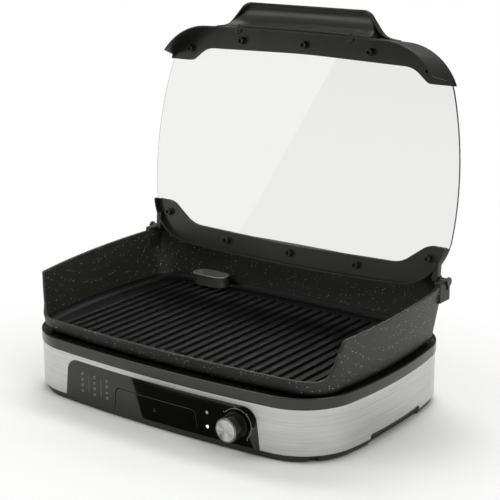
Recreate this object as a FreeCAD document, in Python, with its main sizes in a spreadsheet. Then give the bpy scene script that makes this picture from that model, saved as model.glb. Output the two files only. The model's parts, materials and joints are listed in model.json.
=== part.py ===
import FreeCAD, Part
import math
import os
import Sketcher
from FreeCAD import Vector

# Table-top electric grill with a hinged glass lid, drawn with the lid open.
# Millimetres. +X is the user's right, +Y the back, +Z up.
# The origin is the middle of the whole, on the table.

doc = FreeCAD.newDocument("electric_grill")
sheet = doc.addObject("Spreadsheet::Sheet", "dims")

SIZES = [
    # plan of the base, eight arcs that run into each other
    ("plan_half_width", 245.0),
    ("plan_half_depth", 168.0),
    ("plan_front_radius", 1870.0),
    ("plan_side_radius", 620.0),
    ("plan_corner_radius", 79.0),
    # levels of the base
    ("foot_height", 2.5),
    ("foot_radius", 10.0),
    ("foot_side_inset", 24.0),
    ("foot_y", 60.0),
    ("skirt_height", 7.5),
    ("band_height", 57.0),
    ("collar_height", 14.5),
    # bottom pan
    ("skirt_inset", 8.0),
    ("pan_wall", 2.6),
    ("pan_floor", 3.0),
    ("post_side_inset", 36.0),
    ("post_end_inset", 24.3),
    ("post_radius", 6.0),
    # steel band
    ("band_inset", 1.1),
    ("band_thickness", 1.2),
    ("notch_length", 116.0),
    ("notch_height", 5.5),
    ("notch_corner", 4.0),
    # rim collar
    ("collar_lip", 3.0),
    ("collar_recess", 6.0),
    ("collar_slope", 45.0),
    ("collar_opening_inset", 24.0),
    ("shoulder_outer_inset", 15.0),
    ("seat_gap", 0.3),
    ("slip_gap", 0.2),
    # control panel and drawer front
    ("panel_inset", 0.8),
    ("panel_thickness", 1.6),
    ("panel_half_foot", 153.0),
    ("panel_half_top", 147.0),
    ("panel_top_gap", 6.7),
    ("panel_corner", 18.0),
    ("panel_gap", 0.2),
    ("drawer_half_foot", 66.0),
    ("drawer_half_top", 62.0),
    ("drawer_top_gap", 20.0),
    ("drawer_corner", 6.0),
    ("drawer_thickness", 3.0),
    ("drawer_gap", 0.7),
    # drip tray and its runners
    ("tray_half_width", 58.0),
    ("tray_length", 180.0),
    ("tray_top_gap", 6.3),
    ("tray_wall", 1.8),
    ("runner_width", 6.0),
    ("runner_height", 5.4),
    ("runner_front_inset", 25.2),
    # knob, thermostat and indicators
    ("knob_x", 121.8),
    ("knob_z", 35.2),
    ("knob_radius", 15.6),
    ("knob_length", 18.0),
    ("knob_flange_radius", 17.0),
    ("knob_flange", 1.6),
    ("knob_gap", 1.6),
    ("knob_chamfer", 1.0),
    ("cap_radius", 13.2),
    ("cap_depth", 1.2),
    ("cap_proud", 0.6),
    ("shaft_radius", 3.0),
    ("shaft_grip", 12.0),
    ("shaft_gap", 0.06),
    ("bush_radius", 5.0),
    ("bush_length", 6.0),
    ("thermostat_width", 32.0),
    ("thermostat_height", 30.0),
    ("thermostat_depth", 24.0),
    ("lamp_x", 79.7),
    ("lamp_upper_z", 41.5),
    ("lamp_lower_z", 23.7),
    ("lamp_radius", 2.6),
    ("lamp_length", 9.0),
    ("board_width", 20.0),
    ("board_height", 36.0),
    ("board_thickness", 1.6),
    # mains inlet
    ("inlet_x", 120.0),
    ("inlet_z", 31.0),
    ("inlet_width", 32.0),
    ("inlet_height", 26.0),
    ("inlet_depth", 30.0),
    ("inlet_wall", 4.0),
    ("inlet_floor", 14.0),
    ("pin_width", 2.0),
    ("pin_height", 5.0),
    ("pin_length", 11.0),
    ("pin_pitch", 7.0),
    # reflector, element and what carries them
    ("reflector_flange_inset", 13.0),
    ("reflector_wall_inset", 26.0),
    ("reflector_depth", 17.0),
    ("reflector_sheet", 1.2),
    ("element_radius", 3.5),
    ("element_rise", 4.0),
    ("element_side_inset", 68.5),
    ("element_inner_x", 45.0),
    ("element_lead_x", 24.0),
    ("element_back_inset", 63.6),
    ("element_loop_inset", 106.6),
    ("element_front_inset", 63.6),
    ("element_end_straight", 12.0),
    ("element_lead_bend", 8.0),
    ("strip_thickness", 1.6),
    ("strip_end_gap", 30.3),
    ("strip_front_y", -45.0),
    ("strip_back_y", 15.0),
    ("terminal_half_width", 36.0),
    ("terminal_depth", 14.0),
    ("terminal_height", 22.0),
    ("cutout_x", 70.0),
    ("cutout_y", 70.0),
    ("cutout_radius", 8.0),
    ("cutout_height", 7.0),
    # screws
    ("screw_radius", 2.0),
    ("screw_head_radius", 4.0),
    ("screw_head", 2.4),
    ("screw_gap", 0.15),
    ("collar_screw_bite", 7.0),
    ("collar_screw_wall", 14.0),
    ("reflector_screw_x", 100.0),
    ("reflector_screw_inset", 18.5),
    # grill plate, measured at its underside
    ("plate_side_gap", 11.5),
    ("plate_end_gap", 16.4),
    ("plate_front_radius", 1800.0),
    ("plate_side_radius", 760.0),
    ("plate_corner_radius", 42.0),
    ("plate_drop", 2.5),
    ("plate_floor", 5.0),
    ("plate_wall", 4.0),
    ("plate_flare", 9.8),
    ("plate_cove", 11.0),
    ("plate_foot_round", 11.0),
    ("wall_height", 73.0),
    ("wall_rise", 0.037),
    ("front_wall_height", 20.5),
    ("scoop_top_inset", 40.6),
    ("scoop_foot_inset", 29.1),
    ("scoop_foot_round", 14.0),
    ("scoop_top_round", 6.0),
    # ribs and drain
    ("rib_pitch", 15.3),
    ("rib_width", 5.0),
    ("rib_height", 3.5),
    ("rib_side_inset", 42.25),
    ("rib_front_inset", 35.6),
    ("rib_back_inset", 31.6),
    ("drain_inset", 35.6),
    ("drain_radius", 4.5),
    ("spout_wall", 2.5),
    ("spout_length", 9.0),
    ("drain_clearance", 4.0),
    # hinge
    ("hinge_inset", 28.2),
    ("hinge_rise", 7.3),
    ("lid_lean", 7.0),
    ("pin_radius", 4.0),
    ("pin_head_radius", 5.8),
    ("pin_head", 3.0),
    ("pin_slot_gap", 0.3),
    ("arm_side_inset", 23.5),
    ("arm_thickness", 7.5),
    ("arm_eye_radius", 7.0),
    ("arm_reach", 22.0),
    ("arm_side_gap", 1.5),
    ("lug_side_inset", 5.0),
    ("lug_front_reach", 17.4),
    ("lug_back_reach", 7.6),
    ("lug_drop", 25.3),
    ("lug_above_pin", 1.5),
    ("lug_root_inset", 18.0),
    ("slot_relief_width", 5.0),
    ("slot_relief_depth", 11.0),
    # lid, measured from the hinge axis: up the lid and in towards the food
    ("lid_side_level", 105.0),
    ("front_side_overhang", 0.2),
    ("front_overhang", 4.9),
    ("front_edge_radius", 2700.0),
    ("front_side_radius", 506.0),
    ("front_corner_radius", 85.0),
    ("flange_side_inset", 9.2),
    ("flange_edge_inset", 1.1),
    ("flange_edge_radius", 4460.0),
    ("flange_side_radius", 614.0),
    ("flange_corner_radius", 87.0),
    ("rear_side_inset", 0.2),
    ("rear_edge", -20.7),
    ("rear_edge_radius", 3460.0),
    ("rear_side_radius", 380.0),
    ("rear_corner_radius", 80.0),
    ("lip_side_inset", 4.15),
    ("lip_edge", -19.2),
    ("lip_side_radius", 362.0),
    ("lip_corner_radius", 65.5),
    ("rail_sheet", 2.0),
    ("glass_thickness", 4.0),
    ("glass_side_inset", 3.0),
    ("glass_front_inset", 9.3),
    ("glass_rear_edge", -13.0),
    ("glass_edge_radius", 4200.0),
    ("glass_side_radius", 470.0),
    ("glass_corner_radius", 70.0),
    ("strip_sheet", 2.0),
    ("strip_inset", 4.0),
    ("flange_depth", 34.0),
    ("flange_wrap", 8.0),
    ("flange_wall", 2.0),
    ("flange_end_slant", 12.0),
    ("flange_end_step", 5.5),
    ("flange_end_rise", 3.5),
    ("flange_end_round", 2.5),
    ("front_end_depth", 53.5),
    ("front_bend_depth", 34.8),
    ("front_mid_depth", 30.9),
    ("front_end_inset", 57.2),
    ("front_bend_inset", 80.2),
    ("front_end_round", 14.0),
    ("front_bend_round", 35.0),
    ("rear_lip", 8.0),
    ("rear_lip_wall", 2.2),
    ("rear_end_level", 41.0),
    ("rear_bend_level", 12.6),
    ("rear_mid_level", 8.2),
    ("rear_end_inset", 37.0),
    ("rear_bend_inset", 75.0),
    ("rear_end_round", 24.0),
    ("rear_bend_round", 45.0),
    ("rail_mid_round", 1400.0),
    # bosses and screws of the lid
    ("boss_radius", 4.8),
    ("boss_height", 6.0),
    ("boss_bore", 2.7),
    ("boss_seat", 1.5),
    ("lid_screw_radius", 1.5),
    ("lid_screw_head_radius", 2.5),
    ("lid_screw_head", 2.0),
    ("lid_screw_gap", 0.1),
    ("glass_hole_gap", 1.0),
    ("front_boss_inset", 56.5),
    ("front_boss_outer_depth", 37.5),
    ("front_boss_inner_x", 102.0),
    ("front_boss_inner_depth", 20.8),
    ("front_boss_mid_depth", 19.1),
    ("rear_boss_inset", 34.0),
    ("rear_boss_outer_level", 24.4),
    ("rear_boss_inner_x", 105.9),
    ("rear_boss_inner_level", -1.2),
    ("rear_boss_mid_level", -2.1),
    # handle
    ("handle_reach", 31.8),
    ("handle_half_top", 95.5),
    ("handle_half_foot", 122.0),
    ("handle_round", 22.0),
    ("handle_sheet", 3.0),
    ("handle_wing_drop", 3.2),
    ("handle_lip", 6.0),
    ("handle_lip_width", 2.8),
    ("handle_leg_half_width", 104.0),
    ("handle_leg_short", 2.0),
    ("handle_gap", 0.2),
    ("handle_boss_x", 88.0),
    ("handle_boss_rise", 29.0),
    ("handle_boss_length", 5.0),
    # chip cup
    ("cup_side_inset", 96.5),
    ("cup_back_inset", 25.6),
    ("cup_length", 54.0),
    ("cup_width", 26.0),
    ("cup_height", 16.0),
    ("cup_wall", 1.0),
    ("cup_rim", 2.0),
]


class Size:
    """A number together with the sheet expression that it comes from."""

    def __init__(self, number, text):
        self.number = number
        self.text = text

    def __add__(self, other):
        other = as_size(other)
        return Size(self.number + other.number, "(%s + %s)" % (self.text, other.text))

    def __sub__(self, other):
        other = as_size(other)
        return Size(self.number - other.number, "(%s - %s)" % (self.text, other.text))

    def __mul__(self, other):
        other = as_size(other)
        return Size(self.number * other.number, "(%s * %s)" % (self.text, other.text))

    def __truediv__(self, other):
        other = as_size(other)
        return Size(self.number / other.number, "(%s / %s)" % (self.text, other.text))

    def __neg__(self):
        return Size(-self.number, "(0 - %s)" % self.text)


def as_size(value):
    """A plain number as a Size."""
    return value if isinstance(value, Size) else Size(float(value), "%r" % float(value))


def root(size):
    """Square root."""
    return Size(math.sqrt(size.number), "sqrt(%s)" % size.text)


def tangent(size):
    """Tangent of an angle in degrees."""
    return Size(math.tan(math.radians(size.number)), "tan(%s * 1 deg)" % size.text)


def signed(side, size):
    """The size on the left (side -1) or on the right (side +1)."""
    return size if side > 0 else -size


def ordered(first, second):
    """Two sizes, the smaller one first."""
    return (first, second) if first.number < second.number else (second, first)


for row, (alias, number) in enumerate(SIZES, start=1):
    sheet.set("A%d" % row, alias.replace("_", " "))
    sheet.set("B%d" % row, repr(number))
    sheet.setAlias("B%d" % row, alias)
doc.recompute()
D = {alias: Size(float(sheet.get(alias)), "dims.%s" % alias) for alias, number in SIZES}

# Sizes that follow another one, less a named clearance
FOLLOWERS = [
    ("foot_x", "plan_half_width", "foot_side_inset"),
    ("post_x", "plan_half_width", "post_side_inset"),
    ("panel_height", "band_height", "panel_top_gap"),
    ("drawer_height", "panel_height", "drawer_top_gap"),
    ("tray_height", "drawer_height", "tray_top_gap"),
    ("plate_half_width", "plan_half_width", "plate_side_gap"),
    ("plate_half_depth", "plan_half_depth", "plate_end_gap"),
    ("element_outer_x", "plate_half_width", "element_side_inset"),
    ("element_back_y", "plate_half_depth", "element_back_inset"),
    ("element_loop_y", "plate_half_depth", "element_loop_inset"),
    ("rib_reach", "plate_half_width", "rib_side_inset"),
    ("rib_back_y", "plate_half_depth", "rib_back_inset"),
    ("hinge_y", "plate_half_depth", "hinge_inset"),
    ("lug_front_y", "hinge_y", "lug_front_reach"),
    ("lug_outer_x", "plan_half_width", "lug_side_inset"),
    ("lug_root_x", "plan_half_width", "lug_root_inset"),
    ("arm_inner_x", "plan_half_width", "arm_side_inset"),
    ("cup_y", "plate_half_depth", "cup_back_inset"),
    # towards the front and the left, where the place is negative
    ("runner_front_y", "runner_front_inset", "plan_half_depth"),
    ("element_front_y", "element_front_inset", "plate_half_depth"),
    ("scoop_top_y", "scoop_top_inset", "plate_half_depth"),
    ("scoop_foot_y", "scoop_foot_inset", "plate_half_depth"),
    ("rib_front_y", "rib_front_inset", "plate_half_depth"),
    ("drain_y", "drain_inset", "plate_half_depth"),
    ("cup_x", "cup_side_inset", "plate_half_width"),
]
LID_FOLLOWERS = [
    ("flange_half_width", "front_half_width", "flange_side_inset"),
    ("rear_half_width", "front_half_width", "rear_side_inset"),
    ("lip_half_width", "rear_half_width", "lip_side_inset"),
    ("glass_half_width", "front_half_width", "glass_side_inset"),
    ("front_end_x", "front_half_width", "front_end_inset"),
    ("front_bend_x", "front_half_width", "front_bend_inset"),
    ("front_boss_outer_x", "front_half_width", "front_boss_inset"),
    ("rear_end_x", "rear_half_width", "rear_end_inset"),
    ("rear_bend_x", "rear_half_width", "rear_bend_inset"),
    ("rear_boss_outer_x", "rear_half_width", "rear_boss_inset"),
    ("flange_edge", "front_edge", "flange_edge_inset"),
    ("glass_front_edge", "front_edge", "glass_front_inset"),
    ("front_end_level", "front_edge", "front_end_depth"),
    ("front_bend_level", "front_edge", "front_bend_depth"),
    ("front_mid_level", "front_edge", "front_mid_depth"),
    ("front_boss_outer_level", "front_edge", "front_boss_outer_depth"),
    ("front_boss_inner_level", "front_edge", "front_boss_inner_depth"),
    ("front_boss_mid_level", "front_edge", "front_boss_mid_depth"),
]


def follow(rows):
    """Work out the sizes that follow others."""
    for name, leader, clearance in rows:
        D[name] = D[leader] - D[clearance]


follow(FOLLOWERS)
D["lug_back_y"] = D["hinge_y"] + D["lug_back_reach"]
D["front_half_width"] = D["plan_half_width"] + D["front_side_overhang"]
D["front_edge"] = D["hinge_y"] + D["plan_half_depth"] + D["front_overhang"]
follow(LID_FOLLOWERS)
# The element's middle leg lies half way, and the rests end short of the dish's wall
D["element_middle_x"] = (D["element_outer_x"] + D["element_inner_x"]) / 2
D["element_bend"] = (D["element_middle_x"] - D["element_inner_x"] - D["element_end_straight"]) / 2
DISH_HALF_WIDTH = D["plate_half_width"] - D["reflector_wall_inset"] - D["reflector_sheet"]
D["strip_half_length"] = DISH_HALF_WIDTH - D["strip_end_gap"]

ZERO = as_size(0)
SIDES = (-1, 1)
SUB_PARTS = []


class Plan:
    """A closed outline of eight tangent arcs, symmetric about the Y axis."""

    def __init__(self, half_width, low, high, low_radius, high_radius, side_radius, side_level, corner):
        self.half_width = half_width
        self.low = low
        self.high = high
        self.low_radius = low_radius
        self.high_radius = high_radius
        self.side_radius = side_radius
        self.side_level = side_level
        self.corner = corner

    def corner_centre(self, high):
        """Centre of the right-hand corner circle at the high or the low edge."""
        edge_radius = self.high_radius if high else self.low_radius
        edge_y = self.high - self.high_radius if high else self.low + self.low_radius
        side_x = self.half_width - self.side_radius
        reach_edge = edge_radius.number - self.corner.number
        reach_side = self.side_radius.number - self.corner.number
        across = Vector(side_x.number, self.side_level.number - edge_y.number, 0)
        span = across.Length
        along = (reach_edge ** 2 - reach_side ** 2 + span ** 2) / (2 * span)
        off = math.sqrt(reach_edge ** 2 - along ** 2)
        foot = Vector(0, edge_y.number, 0) + across * (along / span)
        normal = Vector(-across.y, across.x, 0) / span
        choices = [foot + normal * off, foot - normal * off]
        return max(choices, key=lambda point: point.x)


BASE_PLAN = Plan(D["plan_half_width"], -D["plan_half_depth"], D["plan_half_depth"],
                 D["plan_front_radius"], D["plan_front_radius"],
                 D["plan_side_radius"], ZERO, D["plan_corner_radius"])
PLATE_PLAN = Plan(D["plate_half_width"], -D["plate_half_depth"], D["plate_half_depth"],
                  D["plate_front_radius"], D["plate_front_radius"],
                  D["plate_side_radius"], ZERO, D["plate_corner_radius"])
FRONT_PLAN = Plan(D["front_half_width"], D["rear_edge"], D["front_edge"],
                  D["rear_edge_radius"], D["front_edge_radius"],
                  D["front_side_radius"], D["lid_side_level"], D["front_corner_radius"])
FLANGE_PLAN = Plan(D["flange_half_width"], D["rear_edge"], D["flange_edge"],
                   D["rear_edge_radius"], D["flange_edge_radius"],
                   D["flange_side_radius"], D["lid_side_level"], D["flange_corner_radius"])
REAR_PLAN = Plan(D["rear_half_width"], D["rear_edge"], D["front_edge"],
                 D["rear_edge_radius"], D["front_edge_radius"],
                 D["rear_side_radius"], D["lid_side_level"], D["rear_corner_radius"])
LIP_PLAN = Plan(D["lip_half_width"], D["lip_edge"], D["front_edge"],
                D["rear_edge_radius"], D["front_edge_radius"],
                D["lip_side_radius"], D["lid_side_level"], D["lip_corner_radius"])
GLASS_PLAN = Plan(D["glass_half_width"], D["glass_rear_edge"], D["glass_front_edge"],
                  D["glass_edge_radius"], D["glass_edge_radius"],
                  D["glass_side_radius"], D["lid_side_level"], D["glass_corner_radius"])

# Levels that several pieces share
PAN_Z = D["foot_height"]
BAND_Z = PAN_Z + D["skirt_height"]
COLLAR_Z = BAND_Z + D["band_height"]
RIM_Z = COLLAR_Z + D["collar_height"]
PLATE_Z = RIM_Z - D["plate_drop"]
FLOOR_Z = PLATE_Z + D["plate_floor"]
WALL_Z = PLATE_Z + D["wall_height"]
D["hinge_z"] = WALL_Z + D["hinge_rise"]
D["lug_foot_z"] = D["hinge_z"] - D["lug_drop"]
PAN_INSET = D["band_inset"] + D["band_thickness"] + D["slip_gap"]
PAN_INNER = PAN_INSET + D["pan_wall"]
PAN_FLOOR_Z = PAN_Z + D["pan_floor"]
REACH = D["plan_half_width"] * 2


def front_sag(x, radius):
    """How far the bowed front has gone back at a place off the middle."""
    return x * x / (radius * 2)


# The knob stands out in front, so the middle of the base lies behind the origin by half of that
KNOB_FACE = D["plan_half_depth"] - D["panel_inset"] - front_sag(D["knob_x"], D["plan_front_radius"])
KNOB_FRONT = KNOB_FACE + D["knob_gap"] + D["knob_flange"] + D["knob_length"] + D["cap_proud"]
BASE_SHIFT = (KNOB_FRONT - D["plan_half_depth"]) / 2


def new_body(label):
    """An empty body that becomes one sub-part."""
    body = doc.addObject("PartDesign::Body", label)
    body.Label = label
    body.setExpression("Placement.Base.y", BASE_SHIFT.text)
    SUB_PARTS.append(body)
    return body


def new_sketch(body, role, level=None):
    """A sketch on one of the body's origin planes, moved along the plane's normal."""
    sketch = body.newObject("Sketcher::SketchObject", "sketch")
    plane = [feature for feature in body.Origin.OriginFeatures if feature.Role == role][0]
    sketch.AttachmentSupport = [(plane, "")]
    sketch.MapMode = "FlatFace"
    if level is not None:
        sketch.setExpression("AttachmentOffset.Base.z", level.text)
    return sketch


def fix(sketch, kind, where, size):
    """Add one dimension that follows the sheet."""
    index = sketch.addConstraint(Sketcher.Constraint(kind, *where, size.number))
    sketch.setExpression("Constraints[%d]" % index, size.text)


def fix_point(sketch, geometry, position, x, y):
    """Hold a point at a place given by two sizes."""
    fix(sketch, "DistanceX", (geometry, position), x)
    fix(sketch, "DistanceY", (geometry, position), y)


def draw_circle(sketch, x, y, radius):
    """A circle held at its centre."""
    circle = Part.Circle(Vector(x.number, y.number, 0), Vector(0, 0, 1), radius.number)
    geometry = sketch.addGeometry(circle)
    fix_point(sketch, geometry, 3, x, y)
    fix(sketch, "Radius", (geometry,), radius)


def draw_plan(sketch, plan, inset):
    """The eight arcs of a plan, moved inwards by the inset."""
    high = plan.corner_centre(True)
    low = plan.corner_centre(False)
    side_x = plan.half_width - plan.side_radius
    low_y = plan.low + plan.low_radius
    high_y = plan.high - plan.high_radius
    to_high = math.atan2(high.y - plan.side_level.number, high.x - side_x.number)
    to_low = math.atan2(low.y - plan.side_level.number, low.x - side_x.number)
    high_turn = math.atan2(high.y - high_y.number, high.x)
    low_turn = math.atan2(low.y - low_y.number, low.x)
    corner = plan.corner - inset
    side = plan.side_radius - inset
    arcs = [
        (side_x, plan.side_level, side, to_low, to_high),
        (high.x, high.y, corner, to_high, high_turn),
        (ZERO, high_y, plan.high_radius - inset, high_turn, math.pi - high_turn),
        (-high.x, high.y, corner, math.pi - high_turn, math.pi - to_high),
        (-side_x, plan.side_level, side, math.pi - to_high, math.pi - to_low),
        (-low.x, low.y, corner, math.pi - to_low, math.pi - low_turn),
        (ZERO, low_y, plan.low_radius - inset, -math.pi - low_turn, low_turn),
        (low.x, low.y, corner, low_turn, to_low),
    ]
    names = []
    for x, y, radius, start, end in arcs:
        centre = Vector(as_size(x).number, as_size(y).number, 0)
        circle = Part.Circle(centre, Vector(0, 0, 1), radius.number)
        names.append(sketch.addGeometry(Part.ArcOfCircle(circle, start, end)))
    for index, name in enumerate(names):
        sketch.addConstraint(Sketcher.Constraint("Tangent", name, 2, names[(index + 1) % len(names)], 1))
    for name, (x, y, radius, start, end) in zip(names, arcs):
        fix(sketch, "Radius", (name,), radius)
        if isinstance(x, Size):
            fix_point(sketch, name, 3, x, y)


def draw_path(sketch, corners, closed=True):
    """Straight lines between corners (x, y) or (x, y, radius), with the rounded corners as tangent arcs."""
    count = len(corners)
    points = [Vector(corner[0].number, corner[1].number, 0) for corner in corners]
    starts = list(points)
    ends = list(points)
    arcs = {}
    for index, corner in enumerate(corners):
        if len(corner) < 3:
            continue
        before = (points[index - 1] - points[index]).normalize()
        after = (points[(index + 1) % count] - points[index]).normalize()
        half = before.getAngle(after) / 2
        reach = corner[2].number / math.tan(half)
        ends[index] = points[index] + before * reach
        starts[index] = points[index] + after * reach
        centre = points[index] + (before + after).normalize() * (corner[2].number / math.sin(half))
        turns_left = before.cross(after).z < 0
        near, far = (ends[index], starts[index]) if turns_left else (starts[index], ends[index])
        start = math.atan2(near.y - centre.y, near.x - centre.x)
        circle = Part.Circle(centre, Vector(0, 0, 1), corner[2].number)
        name = sketch.addGeometry(Part.ArcOfCircle(circle, start, start + math.pi - 2 * half))
        arcs[index] = (name, 1, 2) if turns_left else (name, 2, 1)
    spans = count if closed else count - 1
    lines = []
    for index in range(spans):
        line = Part.LineSegment(starts[index], ends[(index + 1) % count])
        lines.append(sketch.addGeometry(line))
    for index, corner in enumerate(corners):
        before = lines[index - 1] if closed or index > 0 else None
        after = lines[index] if index < spans else None
        if index not in arcs:
            if before is not None and after is not None:
                sketch.addConstraint(Sketcher.Constraint("Coincident", before, 2, after, 1))
            name, position = (after, 1) if after is not None else (before, 2)
            fix_point(sketch, name, position, corner[0], corner[1])
            continue
        arc, first, last = arcs[index]
        sketch.addConstraint(Sketcher.Constraint("Tangent", before, 2, arc, first))
        sketch.addConstraint(Sketcher.Constraint("Tangent", arc, last, after, 1))
        fix(sketch, "Radius", (arc,), corner[2])
        apex = sketch.addGeometry(Part.Point(points[index]), True)
        fix_point(sketch, apex, 1, corner[0], corner[1])
        sketch.addConstraint(Sketcher.Constraint("PointOnObject", apex, 1, before))
        sketch.addConstraint(Sketcher.Constraint("PointOnObject", apex, 1, after))


def draw_box(sketch, low_x, high_x, low_y, high_y):
    """A rectangle between two corners."""
    draw_path(sketch, [(low_x, low_y), (high_x, low_y), (high_x, high_y), (low_x, high_y)])


def pad(body, sketch, length, taper=None):
    """Add the sketch, swept along its normal."""
    feature = body.newObject("PartDesign::Pad", "pad")
    feature.Profile = sketch
    feature.setExpression("Length", length.text)
    if taper is not None:
        feature.setExpression("TaperAngle", taper.text)
    return feature


def pocket(body, sketch, length, taper=None):
    """Take the sketch away, swept along its normal."""
    feature = body.newObject("PartDesign::Pocket", "pocket")
    feature.Profile = sketch
    feature.Reversed = True
    feature.setExpression("Length", length.text)
    if taper is not None:
        feature.setExpression("TaperAngle", taper.text)
    return feature


def loft(body, kind, sketches):
    """Join sketches of the same number of arcs by ruled faces."""
    feature = body.newObject("PartDesign::%sLoft" % kind, "loft")
    feature.Profile = sketches[0]
    feature.Sections = sketches[1:]
    feature.Ruled = True
    return feature


def plan_sketch(body, plan, inset, level, hole=None):
    """A horizontal sketch of a plan, with the same plan further in as its hole."""
    sketch = new_sketch(body, "XY_Plane", level)
    draw_plan(sketch, plan, inset)
    if hole is not None:
        draw_plan(sketch, plan, hole)
    return sketch


def circles_sketch(body, role, level, places, radius):
    """Equal circles at several places."""
    sketch = new_sketch(body, role, level)
    for x, y in places:
        draw_circle(sketch, x, y, radius)
    return sketch


def box_sketch(body, role, level, low_x, high_x, low_y, high_y):
    """A sketch of one rectangle."""
    sketch = new_sketch(body, role, level)
    draw_box(sketch, low_x, high_x, low_y, high_y)
    return sketch


def edges_at(feature, level):
    """Names of the edges that lie flat at one height."""
    doc.recompute()
    found = []
    for number, edge in enumerate(feature.Shape.Edges, start=1):
        box = edge.BoundBox
        if abs(box.ZMin - level.number) < 0.001 and abs(box.ZMax - level.number) < 0.001:
            found.append("Edge%d" % number)
    return found


def round_edges(body, feature, level, radius):
    """Round every edge of the feature that lies flat at one height."""
    fillet = body.newObject("PartDesign::Fillet", "fillet")
    fillet.Base = (feature, edges_at(feature, level))
    fillet.setExpression("Radius", radius.text)
    return fillet


def place_on_lid(body):
    """Put a body that is drawn flat (x, up the lid, in towards the food) on the open lid."""
    body.Placement = FreeCAD.Placement(Vector(0, 0, 0), FreeCAD.Rotation(Vector(1, 0, 0), 90))
    body.setExpression("Placement.Base.y", (D["hinge_y"] + BASE_SHIFT).text)
    body.setExpression("Placement.Base.z", D["hinge_z"].text)
    body.setExpression("Placement.Rotation.Angle", "90 - %s" % D["lid_lean"].text)


def trapezoid(half_foot, half_top, height, corner, gap):
    """Outline of the panel or the drawer front, grown by a gap, with its foot a little below the band."""
    top = BAND_Z + height + gap
    foot = BAND_Z - gap
    return [(-(half_foot + gap), foot), (half_foot + gap, foot),
            (half_top + gap, top, corner), (-(half_top + gap), top, corner)]


PANEL_SHAPE = (D["panel_half_foot"], D["panel_half_top"], D["panel_height"], D["panel_corner"])
DRAWER_SHAPE = (D["drawer_half_foot"], D["drawer_half_top"], D["drawer_height"], D["drawer_corner"])
LAMP_PLACES = [(D["lamp_x"], D["lamp_upper_z"]), (D["lamp_x"], D["lamp_lower_z"])]
KNOB_PLACE = [(D["knob_x"], D["knob_z"])]
INLET_EDGES = (D["inlet_x"] - D["inlet_width"] / 2, D["inlet_x"] + D["inlet_width"] / 2,
               D["inlet_z"] - D["inlet_height"] / 2, D["inlet_z"] + D["inlet_height"] / 2)
D["post_y"] = D["plan_half_depth"] - front_sag(D["post_x"], D["plan_front_radius"]) - D["post_end_inset"]
POST_PLACES = [(signed(a, D["post_x"]), signed(b, D["post_y"])) for a in SIDES for b in SIDES]


def cut_front(body, corners):
    """Cut an outline through the front half of a body."""
    sketch = new_sketch(body, "XZ_Plane")
    draw_path(sketch, corners)
    pocket(body, sketch, REACH)


def cut_front_circles(body, places, radius):
    """Cut round holes through the front half of a body."""
    pocket(body, circles_sketch(body, "XZ_Plane", None, places, radius), REACH)


def cut_inlet(body):
    """Cut the window for the mains inlet through the back half of a body."""
    gap = D["slip_gap"]
    low_x, high_x, low_z, high_z = INLET_EDGES
    window = box_sketch(body, "XZ_Plane", None, low_x - gap, high_x + gap, low_z - gap, high_z + gap)
    feature = pocket(body, window, REACH)
    feature.Reversed = False


def front_piece(label, inset, thickness, shape):
    """A bowed plate let into the front of the base, cut to an outline."""
    body = new_body(label)
    top = shape[2]
    pad(body, plan_sketch(body, BASE_PLAN, inset, BAND_Z, inset + thickness), top)
    pocket(body, box_sketch(body, "XY_Plane", BAND_Z, -REACH, REACH, ZERO, REACH), top)
    frame = new_sketch(body, "XZ_Plane")
    draw_box(frame, -REACH, REACH, -REACH, REACH)
    draw_path(frame, trapezoid(*shape, ZERO))
    pocket(body, frame, REACH)
    return body


def make_base_pan():
    """Bottom pan: set-back skirt, wall behind the steel band, posts for the collar screws, tray runners."""
    body = new_body("base_pan")
    pad(body, plan_sketch(body, BASE_PLAN, D["skirt_inset"], PAN_Z), D["skirt_height"])
    pad(body, plan_sketch(body, BASE_PLAN, PAN_INSET, BAND_Z), D["band_height"])
    step_z = BAND_Z + D["pan_floor"]
    pocket(body, plan_sketch(body, BASE_PLAN, PAN_INNER, step_z), D["band_height"])
    skirt_inner = D["skirt_inset"] + D["pan_wall"]
    pocket(body, plan_sketch(body, BASE_PLAN, skirt_inner, PAN_FLOOR_Z), D["band_height"])
    post_height = COLLAR_Z - PAN_FLOOR_Z
    pad(body, circles_sketch(body, "XY_Plane", PAN_FLOOR_Z, POST_PLACES, D["post_radius"]), post_height)
    screw_top = D["collar_screw_wall"] + D["screw_head"]
    well = circles_sketch(body, "XY_Plane", PAN_Z, POST_PLACES, D["screw_head_radius"] + D["screw_gap"])
    pocket(body, well, COLLAR_Z - PAN_Z - screw_top + D["screw_head"])
    pocket(body, circles_sketch(body, "XY_Plane", PAN_Z, POST_PLACES, D["screw_radius"] + D["screw_gap"]),
           D["band_height"] * 2)
    cut_front(body, trapezoid(*DRAWER_SHAPE, D["drawer_gap"]))
    cut_front_circles(body, KNOB_PLACE, D["bush_radius"] + D["slip_gap"])
    cut_front_circles(body, LAMP_PLACES, D["lamp_radius"] + D["slip_gap"])
    cut_inlet(body)
    for side in SIDES:
        inner = D["tray_half_width"] - D["runner_width"]
        low_x, high_x = ordered(signed(side, inner), signed(side, D["tray_half_width"]))
        runner = box_sketch(body, "XY_Plane", PAN_FLOOR_Z, low_x, high_x, D["runner_front_y"],
                            D["tray_length"] - D["plan_half_depth"])
        pad(body, runner, D["runner_height"])


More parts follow.
